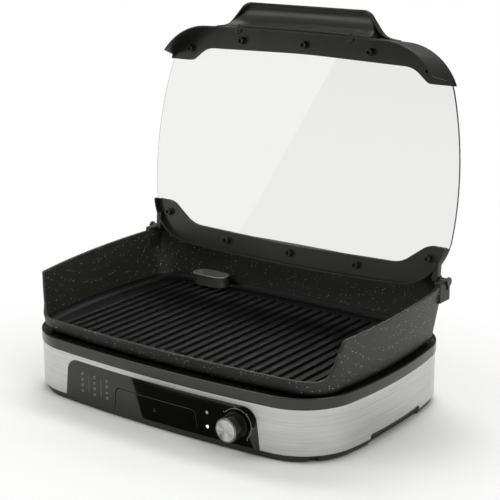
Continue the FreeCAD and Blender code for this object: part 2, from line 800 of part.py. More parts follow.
def make_steel_band():
    """Brushed steel band with the panel's window in front and a shallow notch at each side."""
    body = new_body("steel_band")
    inset = D["band_inset"]
    pad(body, plan_sketch(body, BASE_PLAN, inset, BAND_Z, inset + D["band_thickness"]), D["band_height"])
    cut_front(body, trapezoid(*PANEL_SHAPE, D["panel_gap"]))
    half = D["notch_length"] / 2
    top = BAND_Z + D["notch_height"]
    notch = new_sketch(body, "YZ_Plane", -REACH)
    draw_path(notch, [(-half, BAND_Z - D["notch_height"]), (half, BAND_Z - D["notch_height"]),
                      (half, top, D["notch_corner"]), (-half, top, D["notch_corner"])])
    pocket(body, notch, REACH * 2)
    cut_inlet(body)


def make_rim_collar():
    """Moulded collar: outer lip, sloped recess and the inner shoulder that the plate stands on."""
    body = new_body("rim_collar")
    pad(body, plan_sketch(body, BASE_PLAN, ZERO, COLLAR_Z), D["collar_height"])
    recess_z = RIM_Z - D["collar_recess"]
    foot_inset = D["collar_lip"] + D["collar_recess"] * tangent(D["collar_slope"])
    pocket(body, plan_sketch(body, BASE_PLAN, foot_inset, recess_z), D["collar_recess"], D["collar_slope"])
    opening = D["collar_opening_inset"]
    shoulder = plan_sketch(body, PLATE_PLAN, D["shoulder_outer_inset"], recess_z, opening)
    pad(body, shoulder, PLATE_Z - D["seat_gap"] - recess_z)
    pocket(body, plan_sketch(body, PLATE_PLAN, opening, COLLAR_Z), D["collar_height"])
    bore = D["screw_radius"] + D["screw_gap"]
    pocket(body, circles_sketch(body, "XY_Plane", COLLAR_Z, POST_PLACES, bore), D["collar_screw_bite"])
    dish_holes = circles_sketch(body, "XY_Plane", COLLAR_Z, reflector_places(), bore)
    pocket(body, dish_holes, D["collar_screw_bite"])


def reflector_places():
    """Centres of the screws that hold the reflector under the collar."""
    x = D["reflector_screw_x"]
    y = D["plate_half_depth"] - D["reflector_screw_inset"] - front_sag(x, D["plate_front_radius"])
    return [(signed(a, x), signed(b, y)) for a in SIDES for b in SIDES]


def make_front():
    """Control panel and drip drawer, both flush with the band, and the tray behind the drawer front."""
    panel = front_piece("control_panel", D["panel_inset"], D["panel_thickness"], PANEL_SHAPE)
    cut_front(panel, trapezoid(*DRAWER_SHAPE, D["drawer_gap"]))
    cut_front_circles(panel, KNOB_PLACE, D["bush_radius"] + D["slip_gap"])
    cut_front_circles(panel, LAMP_PLACES, D["lamp_radius"] + D["slip_gap"])
    front_piece("drawer_front", D["panel_inset"], D["drawer_thickness"], DRAWER_SHAPE)
    tray = new_body("drip_tray")
    foot = PAN_FLOOR_Z + D["runner_height"] + D["seat_gap"]
    half = D["tray_half_width"]
    wall = D["tray_wall"]
    back = D["tray_length"] - D["plan_half_depth"]
    behind = D["panel_inset"] + D["drawer_thickness"]
    block = box_sketch(tray, "XY_Plane", foot, -half, half, -D["plan_half_depth"], back)
    pad(tray, block, D["tray_height"])
    outside = new_sketch(tray, "XY_Plane", foot)
    draw_box(outside, -REACH, REACH, -REACH, REACH)
    draw_plan(outside, BASE_PLAN, behind)
    pocket(tray, outside, D["tray_height"])
    front_y = -D["plan_half_depth"] + behind + front_sag(half, D["plan_front_radius"]) + wall
    pocket(tray, box_sketch(tray, "XY_Plane", foot + wall, wall - half, half - wall, front_y, back - wall),
           D["tray_height"])


def make_knob():
    """Knob with its spun cap and shaft, and the thermostat that the shaft turns in."""
    flange_y = KNOB_FACE + D["knob_gap"]
    barrel_y = flange_y + D["knob_flange"]
    end_y = barrel_y + D["knob_length"]
    knob = new_body("knob_body")
    skirt = circles_sketch(knob, "XZ_Plane", flange_y, KNOB_PLACE, D["knob_flange_radius"])
    pad(knob, skirt, D["knob_flange"])
    round_bar = circles_sketch(knob, "XZ_Plane", barrel_y, KNOB_PLACE, D["knob_radius"])
    barrel = pad(knob, round_bar, D["knob_length"])
    doc.recompute()
    rim = []
    for number, edge in enumerate(barrel.Shape.Edges, start=1):
        box = edge.BoundBox
        if abs(box.YMin + end_y.number) < 0.001 and abs(box.YMax + end_y.number) < 0.001:
            rim.append("Edge%d" % number)
    chamfer = knob.newObject("PartDesign::Chamfer", "chamfer")
    chamfer.Base = (barrel, rim)
    chamfer.setExpression("Size", D["knob_chamfer"].text)
    seat_y = end_y - D["cap_depth"]
    recess = circles_sketch(knob, "XZ_Plane", seat_y, KNOB_PLACE, D["cap_radius"] + D["slip_gap"])
    pocket(knob, recess, D["knob_length"])
    socket = circles_sketch(knob, "XZ_Plane", flange_y, KNOB_PLACE, D["shaft_radius"])
    pocket(knob, socket, D["shaft_grip"])
    cap = new_body("knob_cap")
    disc = circles_sketch(cap, "XZ_Plane", seat_y, KNOB_PLACE, D["cap_radius"])
    pad(cap, disc, D["cap_depth"] + D["cap_proud"])
    half = D["thermostat_width"] / 2
    wall_y = D["plan_half_depth"] - PAN_INNER - front_sag(D["knob_x"] + half, D["plan_front_radius"])
    case_y = wall_y - D["seat_gap"]
    shaft = new_body("knob_shaft")
    shaft_y = case_y - D["thermostat_depth"] / 2
    pad(shaft, circles_sketch(shaft, "XZ_Plane", shaft_y, KNOB_PLACE, D["shaft_radius"]),
        flange_y + D["shaft_grip"] - shaft_y)
    case = new_body("thermostat")
    low_z = D["knob_z"] - D["thermostat_height"] / 2
    block = box_sketch(case, "XZ_Plane", case_y - D["thermostat_depth"], D["knob_x"] - half,
                       D["knob_x"] + half, low_z, low_z + D["thermostat_height"])
    pad(case, block, D["thermostat_depth"])
    pad(case, circles_sketch(case, "XZ_Plane", case_y, KNOB_PLACE, D["bush_radius"]), D["bush_length"])
    pocket(case, circles_sketch(case, "XZ_Plane", shaft_y - D["seat_gap"], KNOB_PLACE,
                                D["shaft_radius"] + D["shaft_gap"]), D["thermostat_depth"] * 2)


def make_indicators():
    """Two light pipes that end flush with the panel, and the small board behind them."""
    face_y = D["plan_half_depth"] - D["panel_inset"] - front_sag(D["lamp_x"], D["plan_front_radius"])
    back_y = face_y - D["lamp_length"]
    pipes = new_body("indicator_pipes")
    pad(pipes, circles_sketch(pipes, "XZ_Plane", back_y, LAMP_PLACES, D["lamp_radius"]), D["lamp_length"])
    board = new_body("indicator_board")
    half = D["board_width"] / 2
    middle = (D["lamp_upper_z"] + D["lamp_lower_z"]) / 2
    outline = box_sketch(board, "XZ_Plane", back_y - D["board_thickness"],
                         D["lamp_x"] - half, D["lamp_x"] + half,
                         middle - D["board_height"] / 2, middle + D["board_height"] / 2)
    pad(board, outline, D["board_thickness"])


def make_inlet():
    """Mains inlet let into the back of the base, and its three pins."""
    low_x, high_x, low_z, high_z = INLET_EDGES
    face_y = D["plan_half_depth"] - D["band_inset"] - front_sag(D["inlet_x"], D["plan_front_radius"])
    inlet = new_body("mains_inlet")
    deep_y = face_y - D["inlet_depth"]
    wall = D["inlet_wall"]
    block = box_sketch(inlet, "XZ_Plane", -deep_y, low_x, high_x, low_z, high_z)
    case = pad(inlet, block, D["inlet_depth"])
    case.Reversed = True
    floor_y = deep_y + D["inlet_floor"]
    well = pocket(inlet, box_sketch(inlet, "XZ_Plane", -floor_y, low_x + wall, high_x - wall, low_z + wall,
                                    high_z - wall), D["inlet_depth"])
    well.Reversed = False
    pins = new_body("inlet_pins")
    sketch = new_sketch(pins, "XZ_Plane", -floor_y)
    for offset in (-1, 0, 1):
        middle = D["inlet_x"] + D["pin_pitch"] * offset
        draw_box(sketch, middle - D["pin_width"] / 2, middle + D["pin_width"] / 2,
                 D["inlet_z"] - D["pin_height"] / 2, D["inlet_z"] + D["pin_height"] / 2)
    feature = pad(pins, sketch, D["pin_length"])
    feature.Reversed = True


def make_heater():
    """Reflector dish under the collar, tubular element on two strips, terminal block and thermal cut-out."""
    sheet_metal = D["reflector_sheet"]
    top = COLLAR_Z - D["slip_gap"]
    foot = top - D["reflector_depth"]
    floor = foot + sheet_metal
    wall = D["reflector_wall_inset"]
    dish = new_body("reflector")
    pad(dish, plan_sketch(dish, PLATE_PLAN, D["reflector_flange_inset"], top - sheet_metal), sheet_metal)
    pad(dish, plan_sketch(dish, PLATE_PLAN, wall, foot), D["reflector_depth"])
    pocket(dish, plan_sketch(dish, PLATE_PLAN, wall + sheet_metal, floor), D["reflector_depth"])
    pocket(dish, circles_sketch(dish, "XY_Plane", foot - sheet_metal, reflector_places(),
                                D["screw_radius"] + D["screw_gap"]), D["reflector_depth"] * 2)
    spout = D["drain_radius"] + D["spout_wall"]
    pocket(dish, circles_sketch(dish, "XY_Plane", foot - sheet_metal, [(ZERO, D["drain_y"])],
                                spout + D["drain_clearance"]), D["reflector_depth"])

    tube_z = COLLAR_Z + D["element_rise"]
    bend = D["element_bend"]
    sag = front_sag(D["terminal_half_width"], D["plate_front_radius"])
    back_y = D["plate_half_depth"] - sag - wall - sheet_metal
    block_y = back_y - D["slip_gap"] - D["terminal_depth"]
    right_half = [(D["element_lead_x"], block_y),
                  (D["element_lead_x"], D["element_back_y"], D["element_lead_bend"]),
                  (D["element_outer_x"], D["element_back_y"], bend),
                  (D["element_outer_x"], D["element_front_y"], bend),
                  (D["element_middle_x"], D["element_front_y"], bend),
                  (D["element_middle_x"], D["element_loop_y"], bend),
                  (D["element_inner_x"], D["element_loop_y"], bend),
                  (D["element_inner_x"], D["element_front_y"], bend)]
    left_half = [(-corner[0],) + corner[1:] for corner in reversed(right_half)]
    element = new_body("heating_element")
    spine = new_sketch(element, "XY_Plane", tube_z)
    draw_path(spine, right_half + left_half, closed=False)
    lead = [(D["element_lead_x"], tube_z)]
    profile = circles_sketch(element, "XZ_Plane", -block_y, lead, D["element_radius"])
    tube = element.newObject("PartDesign::AdditivePipe", "tube")
    tube.Profile = profile
    tube.Spine = spine

    strips = new_body("element_strips")
    rest = tube_z - D["element_radius"] - D["slip_gap"]
    sketch = new_sketch(strips, "XY_Plane", floor)
    for y in (D["strip_front_y"], D["strip_back_y"]):
        draw_box(sketch, -D["strip_half_length"], D["strip_half_length"], y - D["strip_thickness"] / 2,
                 y + D["strip_thickness"] / 2)
    pad(strips, sketch, rest - floor)

    block = new_body("terminal_block")
    half = D["terminal_half_width"]
    outline = box_sketch(block, "XY_Plane", floor, -half, half, block_y, block_y + D["terminal_depth"])
    pad(block, outline, D["terminal_height"])

    cutout = new_body("thermal_cutout")
    place = [(D["cutout_x"], D["cutout_y"])]
    disc = circles_sketch(cutout, "XY_Plane", foot - D["cutout_height"], place, D["cutout_radius"])
    pad(cutout, disc, D["cutout_height"])


def make_base_screws():
    """Collar screws up through the posts, reflector screws up through the flange, and the four feet."""
    collar = new_body("collar_screws")
    seat = COLLAR_Z - D["collar_screw_wall"]
    heads = circles_sketch(collar, "XY_Plane", seat - D["screw_head"], POST_PLACES, D["screw_head_radius"])
    pad(collar, heads, D["screw_head"])
    pad(collar, circles_sketch(collar, "XY_Plane", seat, POST_PLACES, D["screw_radius"]),
        D["collar_screw_wall"] + D["collar_screw_bite"] - D["seat_gap"])
    hold = new_body("reflector_screws")
    flange = COLLAR_Z - D["slip_gap"] - D["reflector_sheet"]
    places = reflector_places()
    heads = circles_sketch(hold, "XY_Plane", flange - D["screw_head"], places, D["screw_head_radius"])
    pad(hold, heads, D["screw_head"])
    pad(hold, circles_sketch(hold, "XY_Plane", flange, places, D["screw_radius"]),
        COLLAR_Z + D["collar_screw_bite"] - D["seat_gap"] - flange)
    feet = new_body("rubber_feet")
    places = [(signed(a, D["foot_x"]), signed(b, D["foot_y"])) for a in SIDES for b in SIDES]
    pad(feet, circles_sketch(feet, "XY_Plane", ZERO, places, D["foot_radius"]), D["foot_height"])


def make_grill_plate():
    """Cast plate: flared walls, low front, ribs, drain with a spout, and the two slotted hinge lugs."""
    body = new_body("grill_plate")
    raw_height = D["wall_height"] + D["wall_rise"] * REACH
    flare = D["plate_flare"]
    outer = pad(body, plan_sketch(body, PLATE_PLAN, ZERO, PLATE_Z), raw_height, flare)
    round_edges(body, outer, PLATE_Z, D["plate_foot_round"])
    inner_inset = D["plate_wall"] - D["plate_floor"] * tangent(flare)
    hollow = pocket(body, plan_sketch(body, PLATE_PLAN, inner_inset, FLOOR_Z), raw_height, flare)
    round_edges(body, hollow, FLOOR_Z, D["plate_cove"])

    pin_top = D["hinge_z"] + D["lug_above_pin"]
    arm_x = D["arm_inner_x"] + D["arm_thickness"] + D["arm_side_gap"]
    scoop = new_sketch(body, "YZ_Plane", -REACH)
    sill = PLATE_Z + D["front_wall_height"]
    top_z = WALL_Z + D["wall_rise"] * D["scoop_top_y"]
    draw_path(scoop, [(-REACH, sill), (D["scoop_foot_y"], sill, D["scoop_foot_round"]),
                      (D["scoop_top_y"], top_z, D["scoop_top_round"]),
                      (REACH, WALL_Z + D["wall_rise"] * REACH), (REACH, REACH), (-REACH, REACH)])
    pocket(body, scoop, REACH * 2)

    eye = D["arm_eye_radius"] + D["arm_side_gap"]
    for side in SIDES:
        for inner, top in ((D["lug_root_x"], D["hinge_z"] - eye), (arm_x, pin_top)):
            low_x, high_x = ordered(signed(side, inner), signed(side, D["lug_outer_x"]))
            lug = box_sketch(body, "XY_Plane", D["lug_foot_z"], low_x, high_x, D["lug_front_y"],
                             D["lug_back_y"])
            pad(body, lug, top - D["lug_foot_z"])
    for side in SIDES:
        low_x, high_x = ordered(signed(side, arm_x), signed(side, D["arm_inner_x"] - D["arm_thickness"]))
        room = box_sketch(body, "XY_Plane", D["hinge_z"] - eye, low_x, high_x, D["hinge_y"] - eye,
                          D["hinge_y"] + eye)
        pocket(body, room, REACH)
    slot_half = D["pin_radius"] + D["pin_slot_gap"]
    relief = D["slot_relief_width"] / 2
    seat = circles_sketch(body, "YZ_Plane", -REACH, [(D["hinge_y"], D["hinge_z"])], slot_half)
    pocket(body, seat, REACH * 2)
    pocket(body, box_sketch(body, "YZ_Plane", -REACH, D["hinge_y"] - slot_half, D["hinge_y"] + slot_half,
                            D["hinge_z"], pin_top + D["lug_above_pin"]), REACH * 2)
    pocket(body, box_sketch(body, "YZ_Plane", -REACH, D["hinge_y"] - relief, D["hinge_y"] + relief,
                            D["hinge_z"] - D["slot_relief_depth"], D["hinge_z"]), REACH * 2)

    ribs = new_sketch(body, "XY_Plane", FLOOR_Z)
    count = round(D["rib_reach"].number * 2 / D["rib_pitch"].number) + 1
    for index in range(count):
        middle = D["rib_pitch"] * (index - (count - 1) / 2)
        half = D["rib_width"] / 2
        draw_box(ribs, middle - half, middle + half, D["rib_front_y"], D["rib_back_y"])
    pad(body, ribs, D["rib_height"])

    drain = [(ZERO, D["drain_y"])]
    spout_z = PLATE_Z - D["spout_length"]
    spout = circles_sketch(body, "XY_Plane", spout_z, drain, D["drain_radius"] + D["spout_wall"])
    pad(body, spout, D["spout_length"])
    pocket(body, circles_sketch(body, "XY_Plane", spout_z, drain, D["drain_radius"]), D["spout_length"] * 2)


def front_edge_path(low):
    """Inner edge of the front rail, closed far below the rail."""
    return [(-REACH, low), (REACH, low), (REACH, D["front_end_level"]),
            (D["front_end_x"], D["front_end_level"], D["front_end_round"]),
            (D["front_bend_x"], D["front_bend_level"], D["front_bend_round"]),
            (ZERO, D["front_mid_level"], D["rail_mid_round"]),
            (-D["front_bend_x"], D["front_bend_level"], D["front_bend_round"]),
            (-D["front_end_x"], D["front_end_level"], D["front_end_round"]), (-REACH, D["front_end_level"])]


def rear_edge_path(high):
    """Inner edge of the rear rail, closed far above the rail."""
    return [(REACH, high), (-REACH, high), (-REACH, D["rear_end_level"]),
            (-D["rear_end_x"], D["rear_end_level"], D["rear_end_round"]),
            (-D["rear_bend_x"], D["rear_bend_level"], D["rear_bend_round"]),
            (ZERO, D["rear_mid_level"], D["rail_mid_round"]),
            (D["rear_bend_x"], D["rear_bend_level"], D["rear_bend_round"]),
            (D["rear_end_x"], D["rear_end_level"], D["rear_end_round"]), (REACH, D["rear_end_level"])]


FRONT_BOSSES = [(ZERO, D["front_boss_mid_level"])]
REAR_BOSSES = [(ZERO, D["rear_boss_mid_level"])]
for hand in SIDES:
    FRONT_BOSSES.append((signed(hand, D["front_boss_inner_x"]), D["front_boss_inner_level"]))
    FRONT_BOSSES.append((signed(hand, D["front_boss_outer_x"]), D["front_boss_outer_level"]))
    REAR_BOSSES.append((signed(hand, D["rear_boss_inner_x"]), D["rear_boss_inner_level"]))
    REAR_BOSSES.append((signed(hand, D["rear_boss_outer_x"]), D["rear_boss_outer_level"]))

# Depths through the lid, towards the food, from the hinge axis
RAIL_BACK = -D["rail_sheet"]
GLASS_BACK = RAIL_BACK - D["glass_thickness"]
STRIP_BACK = GLASS_BACK - D["strip_sheet"]
SCREW_HOLE = D["lid_screw_radius"] + D["lid_screw_gap"]
HANDLE_SCREWS = [(signed(hand, D["handle_boss_x"]), D["handle_boss_rise"]) for hand in SIDES]


def cut_path(body, corners, level, length):
    """Cut a closed path through a lid piece."""
    sketch = new_sketch(body, "XY_Plane", level)
    draw_path(sketch, corners)
    pocket(body, sketch, length)


def add_bosses(body, places):
    """Hollow screw bosses on the inner face of a rail, bored through for the screws."""
    pad(body, circles_sketch(body, "XY_Plane", ZERO, places, D["boss_radius"]), D["boss_height"])
    pocket(body, circles_sketch(body, "XY_Plane", D["boss_seat"], places, D["boss_bore"]), D["boss_height"])
    pocket(body, circles_sketch(body, "XY_Plane", RAIL_BACK, places, SCREW_HOLE), D["boss_height"])


def make_front_rail():
    """Front rail: sheet against the glass, deep turned flange that draws in at the corners, screw bosses."""
    body = new_body("front_rail")
    wall = D["flange_wall"]
    depth = D["flange_depth"]
    wrap = -D["flange_wrap"]
    for kind, inset in (("Additive", ZERO), ("Subtractive", wall)):
        sections = [plan_sketch(body, FRONT_PLAN, inset, wrap), plan_sketch(body, FLANGE_PLAN, inset, depth)]
        loft(body, kind, sections)
    pad(body, plan_sketch(body, FRONT_PLAN, wall, RAIL_BACK), D["rail_sheet"])
    cut_path(body, front_edge_path(-REACH), RAIL_BACK, D["rail_sheet"])
    ends = new_sketch(body, "YZ_Plane", -REACH)
    level = D["front_end_level"]
    slant = level + D["flange_end_slant"]
    rise = D["flange_end_rise"]
    draw_path(ends, [(-REACH, wrap), (level, wrap), (level, rise / 2),
                     (level + D["flange_end_step"], rise, D["flange_end_round"]),
                     (slant, depth), (slant, depth * 2), (-REACH, depth * 2)])
    pocket(body, ends, REACH * 2)
    add_bosses(body, FRONT_BOSSES)
    inner = D["flange_edge"] - front_sag(D["handle_boss_x"], D["flange_edge_radius"]) - wall
    length = D["handle_boss_length"]
    studs = circles_sketch(body, "XZ_Plane", length - inner, HANDLE_SCREWS, D["boss_radius"])
    feature = pad(body, studs, length)
    feature.Reversed = True
    holes = circles_sketch(body, "XZ_Plane", length * 2 - inner, HANDLE_SCREWS, SCREW_HOLE)
    bore = pocket(body, holes, length * 4)
    bore.Reversed = False
    place_on_lid(body)


def make_rear_rail():
    """Rear rail: sheet against the glass, shallow lip, screw bosses, and an arm with an eye at each end."""
    body = new_body("rear_rail")
    pad(body, plan_sketch(body, REAR_PLAN, ZERO, RAIL_BACK), D["rail_sheet"])
    for kind, inset in (("Additive", ZERO), ("Subtractive", D["rear_lip_wall"])):
        top = plan_sketch(body, LIP_PLAN, inset, D["rear_lip"])
        loft(body, kind, [plan_sketch(body, REAR_PLAN, inset, ZERO), top])
    cut_path(body, rear_edge_path(REACH), RAIL_BACK, D["rear_lip"] * 2)
    add_bosses(body, REAR_BOSSES)
    eye = D["arm_eye_radius"]
    for side in SIDES:
        start = D["arm_inner_x"] if side > 0 else -(D["arm_inner_x"] + D["arm_thickness"])
        arm = box_sketch(body, "YZ_Plane", start, ZERO, D["arm_reach"], RAIL_BACK, eye)
        pad(body, arm, D["arm_thickness"])
        pad(body, circles_sketch(body, "YZ_Plane", start, [(ZERO, ZERO)], eye), D["arm_thickness"])
    bore = D["pin_radius"] + D["lid_screw_gap"]
    inner = D["arm_inner_x"] - D["pin_slot_gap"]
    for side in SIDES:
        start = inner if side > 0 else -(inner + REACH)
        pocket(body, circles_sketch(body, "YZ_Plane", start, [(ZERO, ZERO)], bore), REACH)
    place_on_lid(body)


def make_glass():
    """Clear pane with a hole at every rail screw."""
    body = new_body("lid_glass")
    pad(body, plan_sketch(body, GLASS_PLAN, ZERO, GLASS_BACK), D["glass_thickness"])
    pocket(body, circles_sketch(body, "XY_Plane", GLASS_BACK, FRONT_BOSSES + REAR_BOSSES,
                                D["lid_screw_radius"] + D["glass_hole_gap"]), D["glass_thickness"])
    place_on_lid(body)


def make_clamp_strip(label, corners, places):
    """Strip on the outer face of the glass that the rail screws pull against."""
    body = new_body(label)
    pad(body, plan_sketch(body, GLASS_PLAN, D["strip_inset"], STRIP_BACK), D["strip_sheet"])
    cut_path(body, corners, STRIP_BACK, D["strip_sheet"])
    pocket(body, circles_sketch(body, "XY_Plane", STRIP_BACK, places, SCREW_HOLE), D["strip_sheet"])
    place_on_lid(body)


def make_handle():
    """Handle: shallow tray with a turned lip, and a leg that is screwed to the rail's flange."""
    body = new_body("lid_handle")
    foot = D["front_edge"] - D["flange_wall"] * 5
    seat = D["front_edge"] + D["handle_gap"]
    top = seat + D["handle_reach"]
    lip = D["handle_lip_width"]
    run = D["handle_half_foot"] - D["handle_half_top"]
    side = root(run * run + D["handle_reach"] * D["handle_reach"])
    corner_shift = lip * (side - run) / D["handle_reach"]
    foot_shift = lip * side / D["handle_reach"]
    sheet_top = RAIL_BACK + D["handle_sheet"]

    def tongue(level, inset):
        """Tongue outline, moved in by the lip's width when inset is 1."""
        half_top = D["handle_half_top"] - corner_shift * inset
        half_foot = D["handle_half_foot"] - foot_shift * inset
        round_top = D["handle_round"] - lip * inset
        round_foot = D["handle_round"] + lip * inset
        end_x = half_foot + D["handle_round"]
        high = top - lip * inset
        sketch = new_sketch(body, "XY_Plane", level)
        wing = seat - D["handle_wing_drop"]
        draw_path(sketch, [(-end_x, foot), (end_x, foot), (end_x, wing), (half_foot, seat, round_foot),
                           (half_top, high, round_top), (-half_top, high, round_top),
                           (-half_foot, seat, round_foot), (-end_x, wing)])
        return sketch

    pad(body, tongue(RAIL_BACK, 0), D["handle_sheet"] + D["handle_lip"])
    pocket(body, tongue(sheet_top, 1), D["handle_lip"])
    leg = D["handle_leg_half_width"]
    pad(body, box_sketch(body, "XY_Plane", RAIL_BACK, -leg, leg, foot, seat + D["handle_sheet"]),
        D["flange_depth"] - RAIL_BACK - D["handle_leg_short"])
    pocket(body, plan_sketch(body, FRONT_PLAN, -D["handle_gap"], RAIL_BACK), REACH)
    bore = pocket(body, circles_sketch(body, "XZ_Plane", -foot, HANDLE_SCREWS, SCREW_HOLE), REACH)
    bore.Reversed = False
    place_on_lid(body)


def make_lid_screws():
    """Ten rail screws sunk in their bosses, and two handle screws."""
    rails = new_body("rail_screws")
    places = FRONT_BOSSES + REAR_BOSSES
    heads = circles_sketch(rails, "XY_Plane", D["boss_seat"], places, D["lid_screw_head_radius"])
    pad(rails, heads, D["lid_screw_head"])
    shanks = circles_sketch(rails, "XY_Plane", STRIP_BACK, places, D["lid_screw_radius"])
    pad(rails, shanks, D["boss_seat"] - STRIP_BACK)
    place_on_lid(rails)
    grip = new_body("handle_screws")
    inner = D["flange_edge"] - front_sag(D["handle_boss_x"], D["flange_edge_radius"]) - D["flange_wall"]
    seat = inner - D["handle_boss_length"]
    head = pad(grip, circles_sketch(grip, "XZ_Plane", D["lid_screw_head"] - seat, HANDLE_SCREWS,
                                    D["lid_screw_head_radius"]), D["lid_screw_head"])
    head.Reversed = True
    shank = pad(grip, circles_sketch(grip, "XZ_Plane", -seat, HANDLE_SCREWS, D["lid_screw_radius"]),
                D["front_edge"] + D["handle_gap"] + D["handle_sheet"] / 2 - seat)
    shank.Reversed = True
    place_on_lid(grip)


def make_hinge_pins():
    """A headed pin in the eye of each arm, with its head outside the plate's lug."""
    head_x = D["lug_outer_x"] + D["pin_slot_gap"]
    for side, label in zip(SIDES, ("hinge_pin_left", "hinge_pin_right")):
        body = new_body(label)
        length = head_x - D["arm_inner_x"]
        start = D["arm_inner_x"] if side > 0 else -head_x
        pad(body, circles_sketch(body, "YZ_Plane", start, [(ZERO, ZERO)], D["pin_radius"]), length)
        start = head_x if side > 0 else -(head_x + D["pin_head"])
        head = circles_sketch(body, "YZ_Plane", start, [(ZERO, ZERO)], D["pin_head_radius"])
        pad(body, head, D["pin_head"])
        place_on_lid(body)


def make_chip_cup():
    """Small stadium-shaped cup for smoking chips, standing on the ribs near the back wall."""
    body = new_body("chip_cup")
    foot = FLOOR_Z + D["rib_height"] + D["seat_gap"]

    def stadium(level, grow):
        """Stadium outline, grown or shrunk all round."""
        half_length = D["cup_length"] / 2 + grow
        half_width = D["cup_width"] / 2 + grow
        sketch = new_sketch(body, "XY_Plane", level)
        left = D["cup_x"] - half_length
        right = D["cup_x"] + half_length
        near = D["cup_y"] - half_width
        far = D["cup_y"] + half_width
        corner = half_width * 0.98
        draw_path(sketch, [(left, near, corner), (right, near, corner),
                           (right, far, corner), (left, far, corner)])
        return sketch

    pad(body, stadium(foot, ZERO), D["cup_height"])
    pad(body, stadium(foot + D["cup_height"] - D["cup_wall"], D["cup_rim"]), D["cup_wall"])
    pocket(body, stadium(foot + D["cup_wall"], -D["cup_wall"]), D["cup_height"])


def check_and_write():
    """Recompute, stop at anything that failed, then write one file for each sub-part."""
    doc.recompute()
    for item in doc.Objects:
        if "Invalid" in item.State or "Error" in item.State:
            raise RuntimeError("%s failed: %s" % (item.Label, item.State))
    os.makedirs("parts", exist_ok=True)
    for body in SUB_PARTS:
        shape = body.Shape
        if shape.isNull() or not shape.isValid() or not shape.Solids:
            raise RuntimeError("%s has no valid solid" % body.Label)
        box = shape.BoundBox
        spans = (box.XMin, box.XMax, box.YMin, box.YMax, box.ZMin, box.ZMax)
        line = "%-18s %2d solids %10.1f mm3  x %.1f %.1f  y %.1f %.1f  z %.1f %.1f"
        print(line % ((body.Label, len(shape.Solids), shape.Volume) + spans))
    for body in SUB_PARTS:
        body.Shape.exportStep("parts/%s.step" % body.Label)


make_base_pan()
make_steel_band()
make_rim_collar()
make_front()
make_knob()
make_indicators()
make_inlet()
make_heater()
make_base_screws()
make_grill_plate()
make_front_rail()
make_rear_rail()
make_glass()
make_clamp_strip("front_clamp_strip", front_edge_path(-REACH), FRONT_BOSSES)
make_clamp_strip("rear_clamp_strip", rear_edge_path(REACH), REAR_BOSSES)
make_handle()
make_lid_screws()
make_hinge_pins()
make_chip_cup()
check_and_write()
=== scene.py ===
import bisect
import json
import logging
import math
from dataclasses import dataclass
from enum import Enum
from typing import Any, Optional, Sequence

import bmesh
import bpy
from mathutils import Matrix, Vector


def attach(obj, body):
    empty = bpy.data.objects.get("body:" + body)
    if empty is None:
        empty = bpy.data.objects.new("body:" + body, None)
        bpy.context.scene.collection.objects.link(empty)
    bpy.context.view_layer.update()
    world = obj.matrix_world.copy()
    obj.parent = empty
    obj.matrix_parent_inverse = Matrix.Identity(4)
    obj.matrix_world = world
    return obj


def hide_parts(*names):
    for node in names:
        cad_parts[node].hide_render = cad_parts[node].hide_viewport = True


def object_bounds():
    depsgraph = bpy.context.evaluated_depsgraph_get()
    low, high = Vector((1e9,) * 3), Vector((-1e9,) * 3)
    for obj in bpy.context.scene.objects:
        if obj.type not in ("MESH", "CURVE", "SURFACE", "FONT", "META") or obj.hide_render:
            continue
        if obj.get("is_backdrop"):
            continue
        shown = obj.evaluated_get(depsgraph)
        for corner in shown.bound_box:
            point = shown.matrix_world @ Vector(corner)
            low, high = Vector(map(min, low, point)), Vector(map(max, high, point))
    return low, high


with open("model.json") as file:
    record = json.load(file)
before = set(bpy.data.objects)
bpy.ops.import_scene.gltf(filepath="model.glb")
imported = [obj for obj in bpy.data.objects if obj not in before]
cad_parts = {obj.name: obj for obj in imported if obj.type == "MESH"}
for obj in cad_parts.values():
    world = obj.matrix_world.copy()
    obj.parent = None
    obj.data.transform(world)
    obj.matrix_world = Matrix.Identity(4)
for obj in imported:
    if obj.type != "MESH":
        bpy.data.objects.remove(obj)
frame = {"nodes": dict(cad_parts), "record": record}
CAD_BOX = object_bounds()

# Dressing of a table-top electric grill with an open glass lid.
# Lengths in the classes are millimetres, Blender's own are metres.

MM = 0.001
LOG = logging.getLogger("grill")
Point = tuple[float, float]
Place = tuple[float, float, float]
Faces = list[bmesh.types.BMFace]

# Knob axis across and up, hinge axis back and up, and the backward lean of the open lid in degrees
KNOB_AXIS: Point = (121.8, 35.2)
HINGE: Point = (131.917, 159.3)
LEAN = 7.0

# Corners of a solid's copy that lie nearer are one, and faces that turn by fewer degrees are flat
JOIN_GAP = 0.004
FLAT_TURN = 0.2

# Edges that turn by more degrees are rounded, or shaded as sharp, and a face of fewer mm2 is a sliver
ROUND_TURN = 32.0
SHARP_TURN = 42.0
SLIVER = 0.02


def linear(code: str) -> tuple[float, float, float, float]:
    """Turn an sRGB hex colour into linear light.

    Args:
        code: Six hex digits after a hash sign.

    Returns:
        Red, green, blue and an alpha of one.
    """
    channels = [int(code[place:place + 2], 16) / 255 for place in (1, 3, 5)]
    red, green, blue = [c / 12.92 if c <= 0.04045 else ((c + 0.055) / 1.055) ** 2.4 for c in channels]
    return red, green, blue, 1.0


